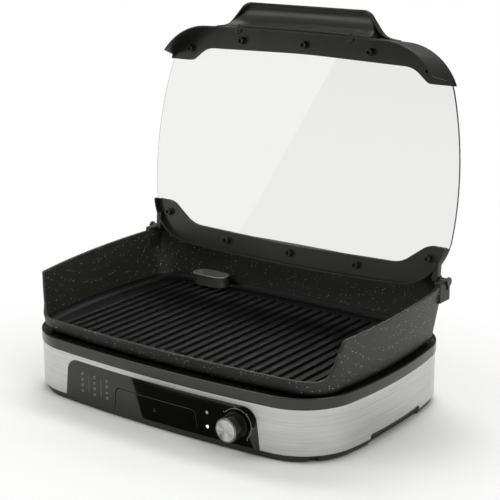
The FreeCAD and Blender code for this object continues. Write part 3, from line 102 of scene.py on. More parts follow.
def add_node(tree: bpy.types.NodeTree, kind: str, inputs: Optional[dict[Any, Any]] = None,
             **settings: Any) -> bpy.types.Node:
    """Add a node with its settings, its values and its links.

    Args:
        tree: Node tree that takes the node.
        kind: Blender's name of the node type.
        inputs: Socket name or number to a value, or to a (node, output) pair to link.
        settings: Properties of the node itself.

    Returns:
        The new node.
    """
    node = tree.nodes.new(kind)
    for name, value in settings.items():
        setattr(node, name, value)
    for socket, value in (inputs or {}).items():
        if isinstance(value, tuple) and value and isinstance(value[0], bpy.types.Node):
            tree.links.new(value[0].outputs[value[1]], node.inputs[socket])
        else:
            node.inputs[socket].default_value = value
    return node


def per_mm(size: float) -> float:
    """Texture scale that gives features of this many millimetres."""
    return 1 / (size * MM)


@dataclass(frozen=True)
class Finish:
    """One Principled shader: the start of every finish."""

    name: str
    colour: str
    roughness: float
    metallic: float = 0.0
    sampling: str = "AUTO"

    def material(self) -> bpy.types.Material:
        """Make the material once and hand out the same one after that.

        Returns:
            The finished material.
        """
        known = bpy.data.materials.get(self.name)
        if known is not None:
            return known
        made = bpy.data.materials.new(self.name)
        made.use_nodes = True
        made.cycles.emission_sampling = self.sampling
        tree = made.node_tree
        tree.nodes.clear()
        shader = add_node(tree, "ShaderNodeBsdfPrincipled", {
            "Base Color": linear(self.colour), "Roughness": self.roughness, "Metallic": self.metallic})
        add_node(tree, "ShaderNodeOutputMaterial", {"Surface": (shader, "BSDF")})
        self.dress(tree, shader)
        return made

    def dress(self, tree: bpy.types.NodeTree, shader: bpy.types.Node) -> None:
        """Add the pattern of the finish: none here."""


@dataclass(frozen=True)
class Moulded(Finish):
    """Moulded plastic, resin, rubber or ceramic: a spark-eroded grain and faint cloudiness."""

    ior: float = 1.45
    # The real grain is finer: drawn coarse enough to show
    grain: float = 1.1
    relief: float = 0.12
    depth: float = 0.2
    cloud: str = "#000000"
    cloud_size: float = 60.0
    roughness_spread: float = 0.06

    def dress(self, tree: bpy.types.NodeTree, shader: bpy.types.Node) -> None:
        """Link the grain to the normal and the clouds to colour and roughness.

        Args:
            tree: Node tree of the material.
            shader: The Principled node.
        """
        shader.inputs["IOR"].default_value = self.ior
        place = add_node(tree, "ShaderNodeTexCoord")
        clouds = add_node(tree, "ShaderNodeTexNoise", {
            "Vector": (place, "Object"), "Scale": per_mm(self.cloud_size), "Detail": 3.0})
        tint = add_node(tree, "ShaderNodeMix", {
            "Factor": (clouds, "Fac"), "A": linear(self.colour), "B": linear(self.cloud)}, data_type="RGBA")
        gloss = add_node(tree, "ShaderNodeMapRange", {
            "Value": (clouds, "Fac"), "To Min": self.roughness - self.roughness_spread,
            "To Max": self.roughness + self.roughness_spread})
        grain = add_node(tree, "ShaderNodeTexNoise", {
            "Vector": (place, "Object"), "Scale": per_mm(self.grain), "Detail": 2.0})
        bump = add_node(tree, "ShaderNodeBump", {
            "Height": (grain, "Fac"), "Strength": self.relief, "Distance": self.depth * MM})
        tree.links.new(tint.outputs["Result"], shader.inputs["Base Color"])
        tree.links.new(gloss.outputs["Result"], shader.inputs["Roughness"])
        tree.links.new(bump.outputs["Normal"], shader.inputs["Normal"])


@dataclass(frozen=True)
class Brushed(Finish):
    """Stainless steel brushed along the band: long level streaks."""

    dark: str = "#8C8C8A"
    streak: float = 90.0
    # The real scratches are finer: drawn coarse enough to show
    pitch: float = 0.6
    relief: float = 0.4
    depth: float = 0.15
    roughness_spread: float = 0.08

    def dress(self, tree: bpy.types.NodeTree, shader: bpy.types.Node) -> None:
        """Stretch a noise along the band for colour, roughness and normal.

        Args:
            tree: Node tree of the material.
            shader: The Principled node.
        """
        place = add_node(tree, "ShaderNodeTexCoord")
        stretch = add_node(tree, "ShaderNodeMapping", {
            "Vector": (place, "Object"),
            "Scale": (per_mm(self.streak), per_mm(self.streak), per_mm(self.pitch))})
        streaks = add_node(tree, "ShaderNodeTexNoise", {
            "Vector": (stretch, "Vector"), "Scale": 1.0, "Detail": 4.0, "Roughness": 0.7})
        tint = add_node(tree, "ShaderNodeMix", {
            "Factor": (streaks, "Fac"), "A": linear(self.dark), "B": linear(self.colour)}, data_type="RGBA")
        gloss = add_node(tree, "ShaderNodeMapRange", {
            "Value": (streaks, "Fac"), "To Min": self.roughness - self.roughness_spread,
            "To Max": self.roughness + self.roughness_spread})
        bump = add_node(tree, "ShaderNodeBump", {
            "Height": (streaks, "Fac"), "Strength": self.relief, "Distance": self.depth * MM})
        tree.links.new(tint.outputs["Result"], shader.inputs["Base Color"])
        tree.links.new(gloss.outputs["Result"], shader.inputs["Roughness"])
        tree.links.new(bump.outputs["Normal"], shader.inputs["Normal"])


@dataclass(frozen=True)
class Spun(Finish):
    """Aluminium turned on a lathe about one axis: rings that fan the light out."""

    centre: Place = (0.0, 0.0, 0.0)
    # The real turning marks are finer: drawn coarse enough to show
    ring: float = 0.35
    relief: float = 0.3
    depth: float = 0.05
    stretch: float = 1.0

    def dress(self, tree: bpy.types.NodeTree, shader: bpy.types.Node) -> None:
        """Lay rings about the axis and stretch the highlight across them.

        Args:
            tree: Node tree of the material.
            shader: The Principled node.
        """
        place = add_node(tree, "ShaderNodeTexCoord")
        away = add_node(tree, "ShaderNodeVectorMath", {
            0: (place, "Object"), 1: tuple(value * MM for value in self.centre)}, operation="SUBTRACT")
        flat = add_node(tree, "ShaderNodeVectorMath", {0: (away, "Vector"), 1: (1, 0, 1)},
                        operation="MULTIPLY")
        radius = add_node(tree, "ShaderNodeVectorMath", {0: (flat, "Vector")}, operation="LENGTH")
        rings = add_node(tree, "ShaderNodeTexNoise", {
            "W": (radius, "Value"), "Scale": per_mm(self.ring), "Detail": 2.0}, noise_dimensions="1D")
        around = add_node(tree, "ShaderNodeVectorMath", {0: (flat, "Vector"), 1: (0, 1, 0)},
                          operation="CROSS_PRODUCT")
        tangent = add_node(tree, "ShaderNodeVectorMath", {0: (around, "Vector")}, operation="NORMALIZE")
        bump = add_node(tree, "ShaderNodeBump", {
            "Height": (rings, "Fac"), "Strength": self.relief, "Distance": self.depth * MM})
        shader.inputs["Anisotropic"].default_value = self.stretch
        tree.links.new(tangent.outputs["Vector"], shader.inputs["Tangent"])
        tree.links.new(bump.outputs["Normal"], shader.inputs["Normal"])


@dataclass(frozen=True)
class Speckled(Finish):
    """Sprayed non-stick coating on cast aluminium: dark, with scattered pale specks."""

    speck_colour: str = "#D2D3CE"
    cell: float = 2.3
    speck: float = 0.55
    spared: float = 0.55
    ior: float = 1.45
    # The real grain is finer: drawn coarse enough to show
    grain: float = 0.9
    relief: float = 0.3
    depth: float = 0.12

    def dress(self, tree: bpy.types.NodeTree, shader: bpy.types.Node) -> None:
        """Scatter specks of chance sizes over a fine sprayed grain.

        Args:
            tree: Node tree of the material.
            shader: The Principled node.
        """
        shader.inputs["IOR"].default_value = self.ior
        place = add_node(tree, "ShaderNodeTexCoord")
        cells = add_node(tree, "ShaderNodeTexVoronoi", {
            "Vector": (place, "Object"), "Scale": per_mm(self.cell), "Randomness": 1.0})
        chance = add_node(tree, "ShaderNodeSeparateColor", {"Color": (cells, "Color")})
        share = add_node(tree, "ShaderNodeMapRange", {
            "Value": (chance, "Red"), "From Min": self.spared})
        reach = add_node(tree, "ShaderNodeMath", {0: (share, "Result"), 1: self.speck / self.cell},
                         operation="MULTIPLY")
        inside = add_node(tree, "ShaderNodeMath", {0: (cells, "Distance"), 1: (reach, "Value")},
                          operation="LESS_THAN")
        tint = add_node(tree, "ShaderNodeMix", {
            "Factor": (inside, "Value"), "A": linear(self.colour), "B": linear(self.speck_colour)},
            data_type="RGBA")
        grain = add_node(tree, "ShaderNodeTexNoise", {
            "Vector": (place, "Object"), "Scale": per_mm(self.grain), "Detail": 2.0})
        bump = add_node(tree, "ShaderNodeBump", {
            "Height": (grain, "Fac"), "Strength": self.relief, "Distance": self.depth * MM})
        tree.links.new(tint.outputs["Result"], shader.inputs["Base Color"])
        tree.links.new(bump.outputs["Normal"], shader.inputs["Normal"])


@dataclass(frozen=True)
class Plated(Finish):
    """Polished or plated metal: faint wiping marks in the gloss."""

    mark: float = 8.0
    spread: float = 0.3

    def dress(self, tree: bpy.types.NodeTree, shader: bpy.types.Node) -> None:
        """Vary the roughness a little over the surface.

        Args:
            tree: Node tree of the material.
            shader: The Principled node.
        """
        place = add_node(tree, "ShaderNodeTexCoord")
        marks = add_node(tree, "ShaderNodeTexNoise", {
            "Vector": (place, "Object"), "Scale": per_mm(self.mark), "Detail": 3.0})
        gloss = add_node(tree, "ShaderNodeMapRange", {
            "Value": (marks, "Fac"), "To Min": self.roughness * (1 - self.spread),
            "To Max": self.roughness * (1 + self.spread)})
        tree.links.new(gloss.outputs["Result"], shader.inputs["Roughness"])


@dataclass(frozen=True)
class Glass(Finish):
    """Clear toughened glass with a faint grey cast."""

    ior: float = 1.5

    def dress(self, tree: bpy.types.NodeTree, shader: bpy.types.Node) -> None:
        """Let the light through and bend it as glass does."""
        shader.inputs["Transmission Weight"].default_value = 1.0
        shader.inputs["IOR"].default_value = self.ior


@dataclass(frozen=True)
class Glowing(Finish):
    """Surface with an even light of its own: a lit light pipe, or a bright card."""

    strength: float = 1.0

    def dress(self, tree: bpy.types.NodeTree, shader: bpy.types.Node) -> None:
        """Give the surface its own light."""
        shader.inputs["Emission Color"].default_value = linear(self.colour)
        shader.inputs["Emission Strength"].default_value = self.strength


@dataclass(frozen=True)
class Flock(Finish):
    """Black flock that only near surfaces mirror."""

    near: float = 300.0

    def dress(self, tree: bpy.types.NodeTree, shader: bpy.types.Node) -> None:
        """Clear the sheet for rays that come from farther away.

        Args:
            tree: Node tree of the material.
            shader: The Principled node.
        """
        rays = add_node(tree, "ShaderNodeLightPath")
        distant = add_node(tree, "ShaderNodeMath", {0: (rays, "Ray Length"), 1: self.near * MM},
                           operation="GREATER_THAN")
        clear = add_node(tree, "ShaderNodeBsdfTransparent")
        mixed = add_node(tree, "ShaderNodeMixShader", {
            "Fac": (distant, "Value"), 1: (shader, "BSDF"), 2: (clear, "BSDF")})
        tree.links.new(mixed.outputs["Shader"], tree.nodes["Material Output"].inputs["Surface"])


@dataclass(frozen=True)
class Paper(Finish):
    """White paper sweep: takes the shadow near the grill and fades to plain white around it."""

    near: float = 290.0
    far: float = 620.0

    def dress(self, tree: bpy.types.NodeTree, shader: bpy.types.Node) -> None:
        """Fade to white for the eye, metal and glass, so that the far floor adds no light.

        Args:
            tree: Node tree of the material.
            shader: The Principled node.
        """
        place = add_node(tree, "ShaderNodeTexCoord")
        away = add_node(tree, "ShaderNodeVectorMath", {0: (place, "Object")}, operation="LENGTH")
        fade = add_node(tree, "ShaderNodeMapRange", {
            "Value": (away, "Value"), "From Min": self.near * MM, "From Max": self.far * MM},
            interpolation_type="SMOOTHSTEP")
        rays = add_node(tree, "ShaderNodeLightPath")
        sharp = add_node(tree, "ShaderNodeMath", {0: (rays, "Is Camera Ray"), 1: (rays, "Is Glossy Ray")},
                         operation="MAXIMUM")
        seen = add_node(tree, "ShaderNodeMath", {0: (sharp, "Value"), 1: (rays, "Is Transmission Ray")},
                        operation="MAXIMUM")
        share = add_node(tree, "ShaderNodeMath", {0: (seen, "Value"), 1: (fade, "Result")},
                         operation="MULTIPLY")
        white = add_node(tree, "ShaderNodeEmission", {"Color": linear("#FFFFFF"), "Strength": 1.0})
        mixed = add_node(tree, "ShaderNodeMixShader", {
            "Fac": (share, "Value"), 1: (shader, "BSDF"), 2: (white, "Emission")})
        side = add_node(tree, "ShaderNodeNewGeometry")
        clear = add_node(tree, "ShaderNodeBsdfTransparent")
        whole = add_node(tree, "ShaderNodeMixShader", {
            "Fac": (side, "Backfacing"), 1: (mixed, "Shader"), 2: (clear, "BSDF")})
        tree.links.new(whole.outputs["Shader"], tree.nodes["Material Output"].inputs["Surface"])


class Look(Enum):
    """Every finish of the grill."""

    # Polypropylene from a grained mould: dark grey with a soft sheen and no clear reflections
    BASE = Moulded("moulded_black_polypropylene", "#23231F", 0.48, cloud="#191916")
    # Nylon from a smooth mould: satin black that catches broad, clear lights along its edges
    COLLAR = Moulded("moulded_satin_nylon", "#22231B", 0.17, ior=1.53, relief=0.04, cloud="#1B1C15",
                     roughness_spread=0.03)
    # Nylon from an etched mould: olive black, dull on the flat and a little lighter on its edges
    RAIL = Moulded("moulded_olive_black_nylon", "#1C1C16", 0.36, relief=0.08, cloud="#171712")
    # Acrylic from a polished mould: near black, with the floor mirrored in it
    PANEL = Moulded("gloss_black_acrylic", "#0E0E0B", 0.08, ior=1.52, grain=3.0, relief=0.01,
                    cloud="#0C0C0A", roughness_spread=0.02)
    # ABS from a polished mould: black with small bright lights round the barrel
    KNOB = Moulded("gloss_black_abs", "#181814", 0.16, ior=1.5, grain=3.0, relief=0.02,
                   cloud="#0F0F0D", roughness_spread=0.02)
    # Stainless sheet brushed along its length: pale, with level streaks that smear what it mirrors
    STEEL = Brushed("brushed_stainless_steel", "#E6E6E4", 0.3, 1.0)
    # Aluminium spun on a lathe: fine rings that turn the lamps into fans about the middle
    CAP = Spun("spun_aluminium", "#EDEDEB", 0.44, 1.0, centre=(KNOB_AXIS[0], 0.0, KNOB_AXIS[1]))
    # Non-stick coating sprayed on a casting: matt charcoal with scattered pale specks
    COATING = Speckled("sprayed_nonstick_coating", "#24251F", 0.5)
    # The same coating made near black, with few and dimmer specks: painted shade for the floor and ribs of
    # the well, where shadow falls
    RIBS = Speckled("oiled_nonstick_coating", "#0B0B0A", 0.45, speck_colour="#8F908B", cell=5.0, speck=0.5,
                    spared=0.62, ior=1.26)
    # Toughened float glass: clear, seen by its edges, its faint grey and what it mirrors
    GLASS = Glass("toughened_glass", "#EBEBEA", 0.0)
    # Moulded rubber: dull dark grey without a highlight
    RUBBER = Moulded("black_rubber", "#1C1C1B", 0.75, grain=0.8, cloud="#171716")
    # Phenolic resin from a hot press: plain brown with a low sheen
    RESIN = Moulded("brown_phenolic_resin", "#3A241A", 0.5, cloud="#2E1C14")
    # Ceramic fired without a glaze: chalky off-white
    CERAMIC = Moulded("unglazed_ceramic", "#DEDACE", 0.7, grain=0.6, cloud="#CFC9BA")
    # Pressed glass fibre under green lacquer: smooth and half glossy
    BOARD = Moulded("green_glass_fibre_board", "#1F5A30", 0.4, grain=0.7, cloud="#1A4C28")
    # Steel blackened in a bath: near black with a dim metal glint
    SCREW = Plated("blackened_steel", "#2A2A28", 0.35, 0.8)
    # Steel with bright zinc on it: cool light grey that mirrors softly
    ZINC = Plated("zinc_plated_steel", "#B9B9B6", 0.28, 1.0)
    # Steel dulled by use: dark grey with a soft glint
    PIN = Plated("dulled_steel", "#4A4A47", 0.38, 0.9)
    # Stainless sheet pressed to shape: bright, with blurred reflections
    CUP = Plated("pressed_stainless_steel", "#C6C6C4", 0.32, 1.0)
    # Stamped brass left bare: warm yellow metal
    BRASS = Plated("plain_brass", "#C8A75A", 0.25, 1.0)
    # Rolled aluminium sheet: bright, close to a mirror
    DISH = Plated("bright_aluminium_sheet", "#BFBFBC", 0.22, 1.0)
    # Steel tube stained by its own heat: dull brown grey
    SHEATH = Plated("heat_stained_sheath", "#4A4642", 0.45, 0.9)
    # Screen-printed inks: flat, even colour without a highlight, the dark one hardly lighter than its ground
    INK = Moulded("grey_printing_ink", "#A2A39E", 0.5, grain=0.8, relief=0.02, cloud="#999A95")
    FAINT_INK = Moulded("dark_printing_ink", "#5A5B56", 0.5, grain=0.8, relief=0.02, cloud="#444540")
    PALE_INK = Moulded("white_printing_ink", "#BFC0BC", 0.5, grain=0.8, relief=0.02, cloud="#B8B9B5")
    # Moulded clear plastic lit from behind: plain even white
    LAMP = Glowing("lit_light_pipe", "#FFFFFF", 0.4, strength=0.9)

    @property
    def material(self) -> bpy.types.Material:
        """The Blender material of the finish."""
        return self.value.material()


BODY_OF = {node: body for body, nodes in frame["record"]["behaviour"]["bodies"].items() for node in nodes}
SLOT_OF = {row["node"]: row["material_slot"] for row in frame["record"]["subparts"]}


def finished_mesh(shape: bmesh.types.BMesh, name: str) -> bpy.types.Mesh:
    """Turn a worked shape into a mesh without the shading stored in the solid's copy.

    Args:
        shape: Shape, freed here.
        name: Name of the mesh.

    Returns:
        The mesh.
    """
    mesh = bpy.data.meshes.new(name)
    shape.to_mesh(mesh)
    shape.free()
    stored = mesh.attributes.get("custom_normal")
    if stored is not None:
        mesh.attributes.remove(stored)
    return mesh


def skin(rings: Sequence[Sequence[Vector]], looped: bool = False) -> bmesh.types.BMesh:
    """Stretch a closed skin over a row of rings.

    Args:
        rings: Rings of points in metres, all with the same number of points.
        looped: Whether the last ring joins the first; otherwise a face closes each end.

    Returns:
        The shape, with its faces outwards.
    """
    shape = bmesh.new()
    rows = [[shape.verts.new(spot) for spot in ring] for ring in rings]
    follow = rows[1:] + rows[:1] if looped else rows[1:]
    for first, second in zip(rows, follow):
        for spot in range(len(first)):
            after = (spot + 1) % len(first)
            shape.faces.new((first[spot], first[after], second[after], second[spot]))
    if not looped:
        shape.faces.new(rows[0])
        shape.faces.new(rows[-1])
    bmesh.ops.recalc_face_normals(shape, faces=shape.faces)
    return shape


def put(name: str, data: bpy.types.ID) -> bpy.types.Object:
    """Put a mesh, a lamp or a camera into the scene.

    Args:
        name: Name of the object.
        data: What it holds.

    Returns:
        The new object.
    """
    made = bpy.data.objects.new(name, data)
    bpy.context.scene.collection.objects.link(made)
    return made


def new_piece(name: str, mesh: bpy.types.Mesh, look: Look) -> bpy.types.Object:
    """Put a mesh into the scene with one finish.

    Args:
        name: Name of the piece.
        mesh: Mesh in metres, in the grill's frame.
        look: Finish of all its faces.

    Returns:
        The new object.
    """
    piece = put(name, mesh)
    mesh.materials.clear()
    mesh.materials.append(look.material)
    return piece


def settle(piece: bpy.types.Object, body: str, slot: str, nodes: Sequence[str] = ()) -> None:
    """Tie a piece to its body and hide the nodes that it stands for.

    Args:
        piece: Finished piece.
        body: Body that carries it.
        slot: Slot of the record; not used.
        nodes: Nodes that it stands for.
    """
    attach(piece, body)
    if nodes:
        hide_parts(*nodes)
    LOG.info("%s: %d faces on %s", piece.name, len(piece.data.polygons), body)


def bake_modifiers(piece: bpy.types.Object) -> None:
    """Turn a piece's modifiers into plain mesh.

    Args:
        piece: Piece whose modifiers are taken in.
    """
    graph = bpy.context.evaluated_depsgraph_get()
    graph.update()
    mesh = bpy.data.meshes.new_from_object(piece.evaluated_get(graph), preserve_all_data_layers=True,
                                           depsgraph=graph)
    old = piece.data
    piece.modifiers.clear()
    piece.data = mesh
    mesh.name = piece.name
    bpy.data.meshes.remove(old)


def clean_copy(node: str, joined: bool = True) -> bmesh.types.BMesh:
    """Copy a node's mesh with its loose triangles joined.

    Args:
        node: Name of the node.
        joined: Whether flat neighbours become one face too.

    Returns:
        The joined copy.
    """
    shape = bmesh.new()
    shape.from_mesh(frame["nodes"][node].data)
    bmesh.ops.remove_doubles(shape, verts=shape.verts, dist=JOIN_GAP * MM)
    if joined:
        bmesh.ops.dissolve_limit(shape, angle_limit=math.radians(FLAT_TURN), verts=shape.verts,
                                 edges=shape.edges)
    return shape


def mark_edges(mesh: bpy.types.Mesh, shortest: float) -> None:
    """Give a bevel weight to the sharp edges of a mesh, leaving out those of slivers.

    Args:
        mesh: Mesh to mark.
        shortest: Shorter edges, as round small holes, stay sharp.
    """
    shape = bmesh.new()
    shape.from_mesh(mesh)
    weights = shape.edges.layers.float.new("bevel_weight_edge")
    for edge in shape.edges:
        faces = edge.link_faces
        whole = len(faces) == 2 and min(face.calc_area() for face in faces) > SLIVER * MM * MM
        sharp = whole and edge.calc_face_angle() > math.radians(ROUND_TURN)
        edge[weights] = float(sharp and edge.calc_length() >= shortest * MM)
    shape.to_mesh(mesh)
    shape.free()


def soften(piece: bpy.types.Object, width: float, segments: int = 2, shortest: float = 0.0) -> None:
    """Round the sharp edges of a piece and shade it smooth.

    Args:
        piece: Piece to work on.
        width: Width of the rounding, zero for none.
        segments: Faces across the rounding.
        shortest: Shorter edges, as round small holes, stay sharp.
    """
    piece.data.shade_smooth()
    if width > 0:
        mark_edges(piece.data, shortest)
        bevel = piece.modifiers.new("rounding", "BEVEL")
        bevel.width = width * MM
        bevel.segments = segments
        bevel.limit_method = "WEIGHT"
        bevel.use_clamp_overlap = False
        bevel.miter_outer = "MITER_ARC"
        bake_modifiers(piece)
    piece.data.set_sharp_from_angle(angle=math.radians(SHARP_TURN))
    even = piece.modifiers.new("even_shading", "WEIGHTED_NORMAL")
    even.keep_sharp = True
    even.weight = 80
    bake_modifiers(piece)


def dress_node(node: str, name: str, look: Look, width: float, segments: int = 2,
               shortest: float = 0.0) -> None:
    """Stand a softened copy in for a node.

    Args:
        node: Node to stand for.
        name: Name of the new piece.
        look: Finish.
        width: Width of the rounded edges, zero for none.
        segments: Faces across the rounding.
        shortest: Shorter edges, as round small holes, stay sharp.
    """
    piece = new_piece(name, finished_mesh(clean_copy(node), name), look)
    soften(piece, width, segments, shortest)
    settle(piece, BODY_OF[node], SLOT_OF[node], [node])


@dataclass
class BaseHousing:
    """Pan, steel band, collar, feet, inlet and the screws that hold them."""

    collar_round: float = 1.4
    collar_steps: int = 3
    band_round: float = 0.3
    pan_round: float = 0.8
    pan_shortest: float = 2.0
    foot_round: float = 0.6
    inlet_round: float = 0.5
    blade_round: float = 0.25
    screw_round: float = 0.2
    plan_half: Point = (237.0, 160.0)
    plan_y: float = 8.5
    # Outer faces lie beyond this share of a rounded oblong of this power
    plan_power: int = 5
    plan_least: float = 0.85
    skirt_top: float = 10.0
    skirt_foot: float = 2.5
    skirt_least: float = 6.0
    skirt_tilt: float = 0.1
    skirt_slack: float = 0.2
    edge_slack: float = 0.5
    skirt_out: Point = (3.6, 5.4)
    notch_x: float = 235.6
    notch_y: Point = (-49.5, 66.5)
    notch_top: float = 7.4
    notch_depth: float = 30.0

    def skirt_push(self, z: float) -> float:
        """How far the skirt comes out at a height, less towards the table."""
        low, high = self.skirt_out
        return (low + (high - low) * (z / MM - self.skirt_foot) / (self.skirt_top - self.skirt_foot)) * MM

    def turn_of(self, spot: Vector) -> float:
        """Angle of a point about the middle of the plan."""
        return math.atan2(spot.y - self.plan_y * MM, spot.x)

    def skirt_faces(self, shape: bmesh.types.BMesh) -> tuple[Faces, Faces]:
        """Find the outer faces of the skirt.

        Args:
            shape: Copy of the pan.

        Returns:
            Faces of full height, and the lower ones where posts stand in the skirt.
        """
        whole, partial = [], []
        for face in shape.faces:
            middle = face.calc_center_median() / MM
            spot = (abs(middle.x) / self.plan_half[0], abs(middle.y - self.plan_y) / self.plan_half[1])
            levels = [vert.co.z / MM for vert in face.verts]
            away = face.normal.x * middle.x + face.normal.y * (middle.y - self.plan_y) > 0
            low = max(levels) < self.skirt_top + self.skirt_slack
            rim = spot[0] ** self.plan_power + spot[1] ** self.plan_power > self.plan_least
            if low and away and rim and abs(face.normal.z) < self.skirt_tilt:
                tall = max(levels) - min(levels) > self.skirt_least
                (whole if tall else partial).append(face)
        return whole, partial

    def widen(self, shape: bmesh.types.BMesh) -> None:
        """Bring the skirt out close under the band, leaning in towards the table.

        Args:
            shape: Copy of the pan, changed here.
        """
        whole, partial = self.skirt_faces(shape)
        outward: dict[bmesh.types.BMVert, Vector] = {}
        for face in whole:
            for vert in face.verts:
                outward[vert] = outward.get(vert, Vector()) + face.normal
        edge = []
        for vert, push in outward.items():
            push.normalize()
            vert.co += push * self.skirt_push(vert.co.z)
            if vert.co.z > (self.skirt_top - self.edge_slack) * MM:
                edge.append((self.turn_of(vert.co), vert.co.copy(), push))
        edge.sort(key=lambda row: row[0])
        turns = [row[0] for row in edge]
        for vert in {vert for face in partial for vert in face.verts} - set(outward):
            turn = self.turn_of(vert.co)
            after = bisect.bisect(turns, turn) % len(edge)
            first, second = edge[after - 1], edge[after]
            share = (turn - first[0]) / (second[0] - first[0])
            push = first[2].lerp(second[2], share).normalized()
            reach = (first[1].lerp(second[1], share) - vert.co).dot(push)
            vert.co += push * (reach - self.skirt_push(self.skirt_top * MM) + self.skirt_push(vert.co.z))

    def notches(self) -> bpy.types.Object:
        """Blocks that cut the skirt back below the band's notches.

        Returns:
            An object with one block for each side.
        """
        shape = bmesh.new()
        for side in (-1, 1):
            low, high = self.notch_y
            size = Vector((self.notch_depth, high - low, self.notch_top * 2)) * MM
            middle = Vector((side * (self.notch_x + self.notch_depth / 2), (low + high) / 2, 0.0)) * MM
            bmesh.ops.create_cube(shape, matrix=Matrix.LocRotScale(middle, None, size))
        return put("notches", finished_mesh(shape, "notches"))

    def pan(self) -> None:
        """Dress the pan with a skirt that stands under the band."""
        shape = clean_copy("base_pan")
        self.widen(shape)
        piece = new_piece("bottom_pan", finished_mesh(shape, "bottom_pan"), Look.BASE)
        blocks = self.notches()
        cut = piece.modifiers.new("notches", "BOOLEAN")
        cut.operation = "DIFFERENCE"
        cut.object = blocks
        bake_modifiers(piece)
        bpy.data.objects.remove(blocks)
        soften(piece, self.pan_round, shortest=self.pan_shortest)
        settle(piece, BODY_OF["base_pan"], SLOT_OF["base_pan"], ["base_pan"])

    def build(self) -> None:
        """Dress every piece of the housing."""
        self.pan()
        dress_node("steel_band", "outer_band", Look.STEEL, self.band_round)
        dress_node("rim_collar", "top_collar", Look.COLLAR, self.collar_round, self.collar_steps)
        dress_node("rubber_feet", "feet", Look.RUBBER, self.foot_round)
        dress_node("mains_inlet", "inlet_socket", Look.BASE, self.inlet_round)
        dress_node("inlet_pins", "inlet_blades", Look.BRASS, self.blade_round)
        dress_node("collar_screws", "post_screws", Look.ZINC, self.screw_round)


@dataclass
class Heater:
    """Reflector dish, tube element and what carries and guards them."""

    dish_round: float = 0.4
    strip_round: float = 0.2
    block_round: float = 0.8
    can_round: float = 0.5
    board_round: float = 0.1

    def build(self) -> None:
        """Dress every piece of the heater; the tube has no edge to round."""
        dress_node("reflector", "dish", Look.DISH, self.dish_round)
        dress_node("heating_element", "tube_element", Look.SHEATH, 0.0)
        dress_node("element_strips", "tube_rests", Look.ZINC, self.strip_round)
        dress_node("terminal_block", "terminals", Look.CERAMIC, self.block_round)
        dress_node("thermal_cutout", "cutout_can", Look.ZINC, self.can_round)
        dress_node("reflector_screws", "dish_screws", Look.ZINC, self.strip_round)
        dress_node("thermostat", "thermostat_case", Look.RESIN, self.block_round)
        dress_node("indicator_board", "lamp_board", Look.BOARD, self.board_round)


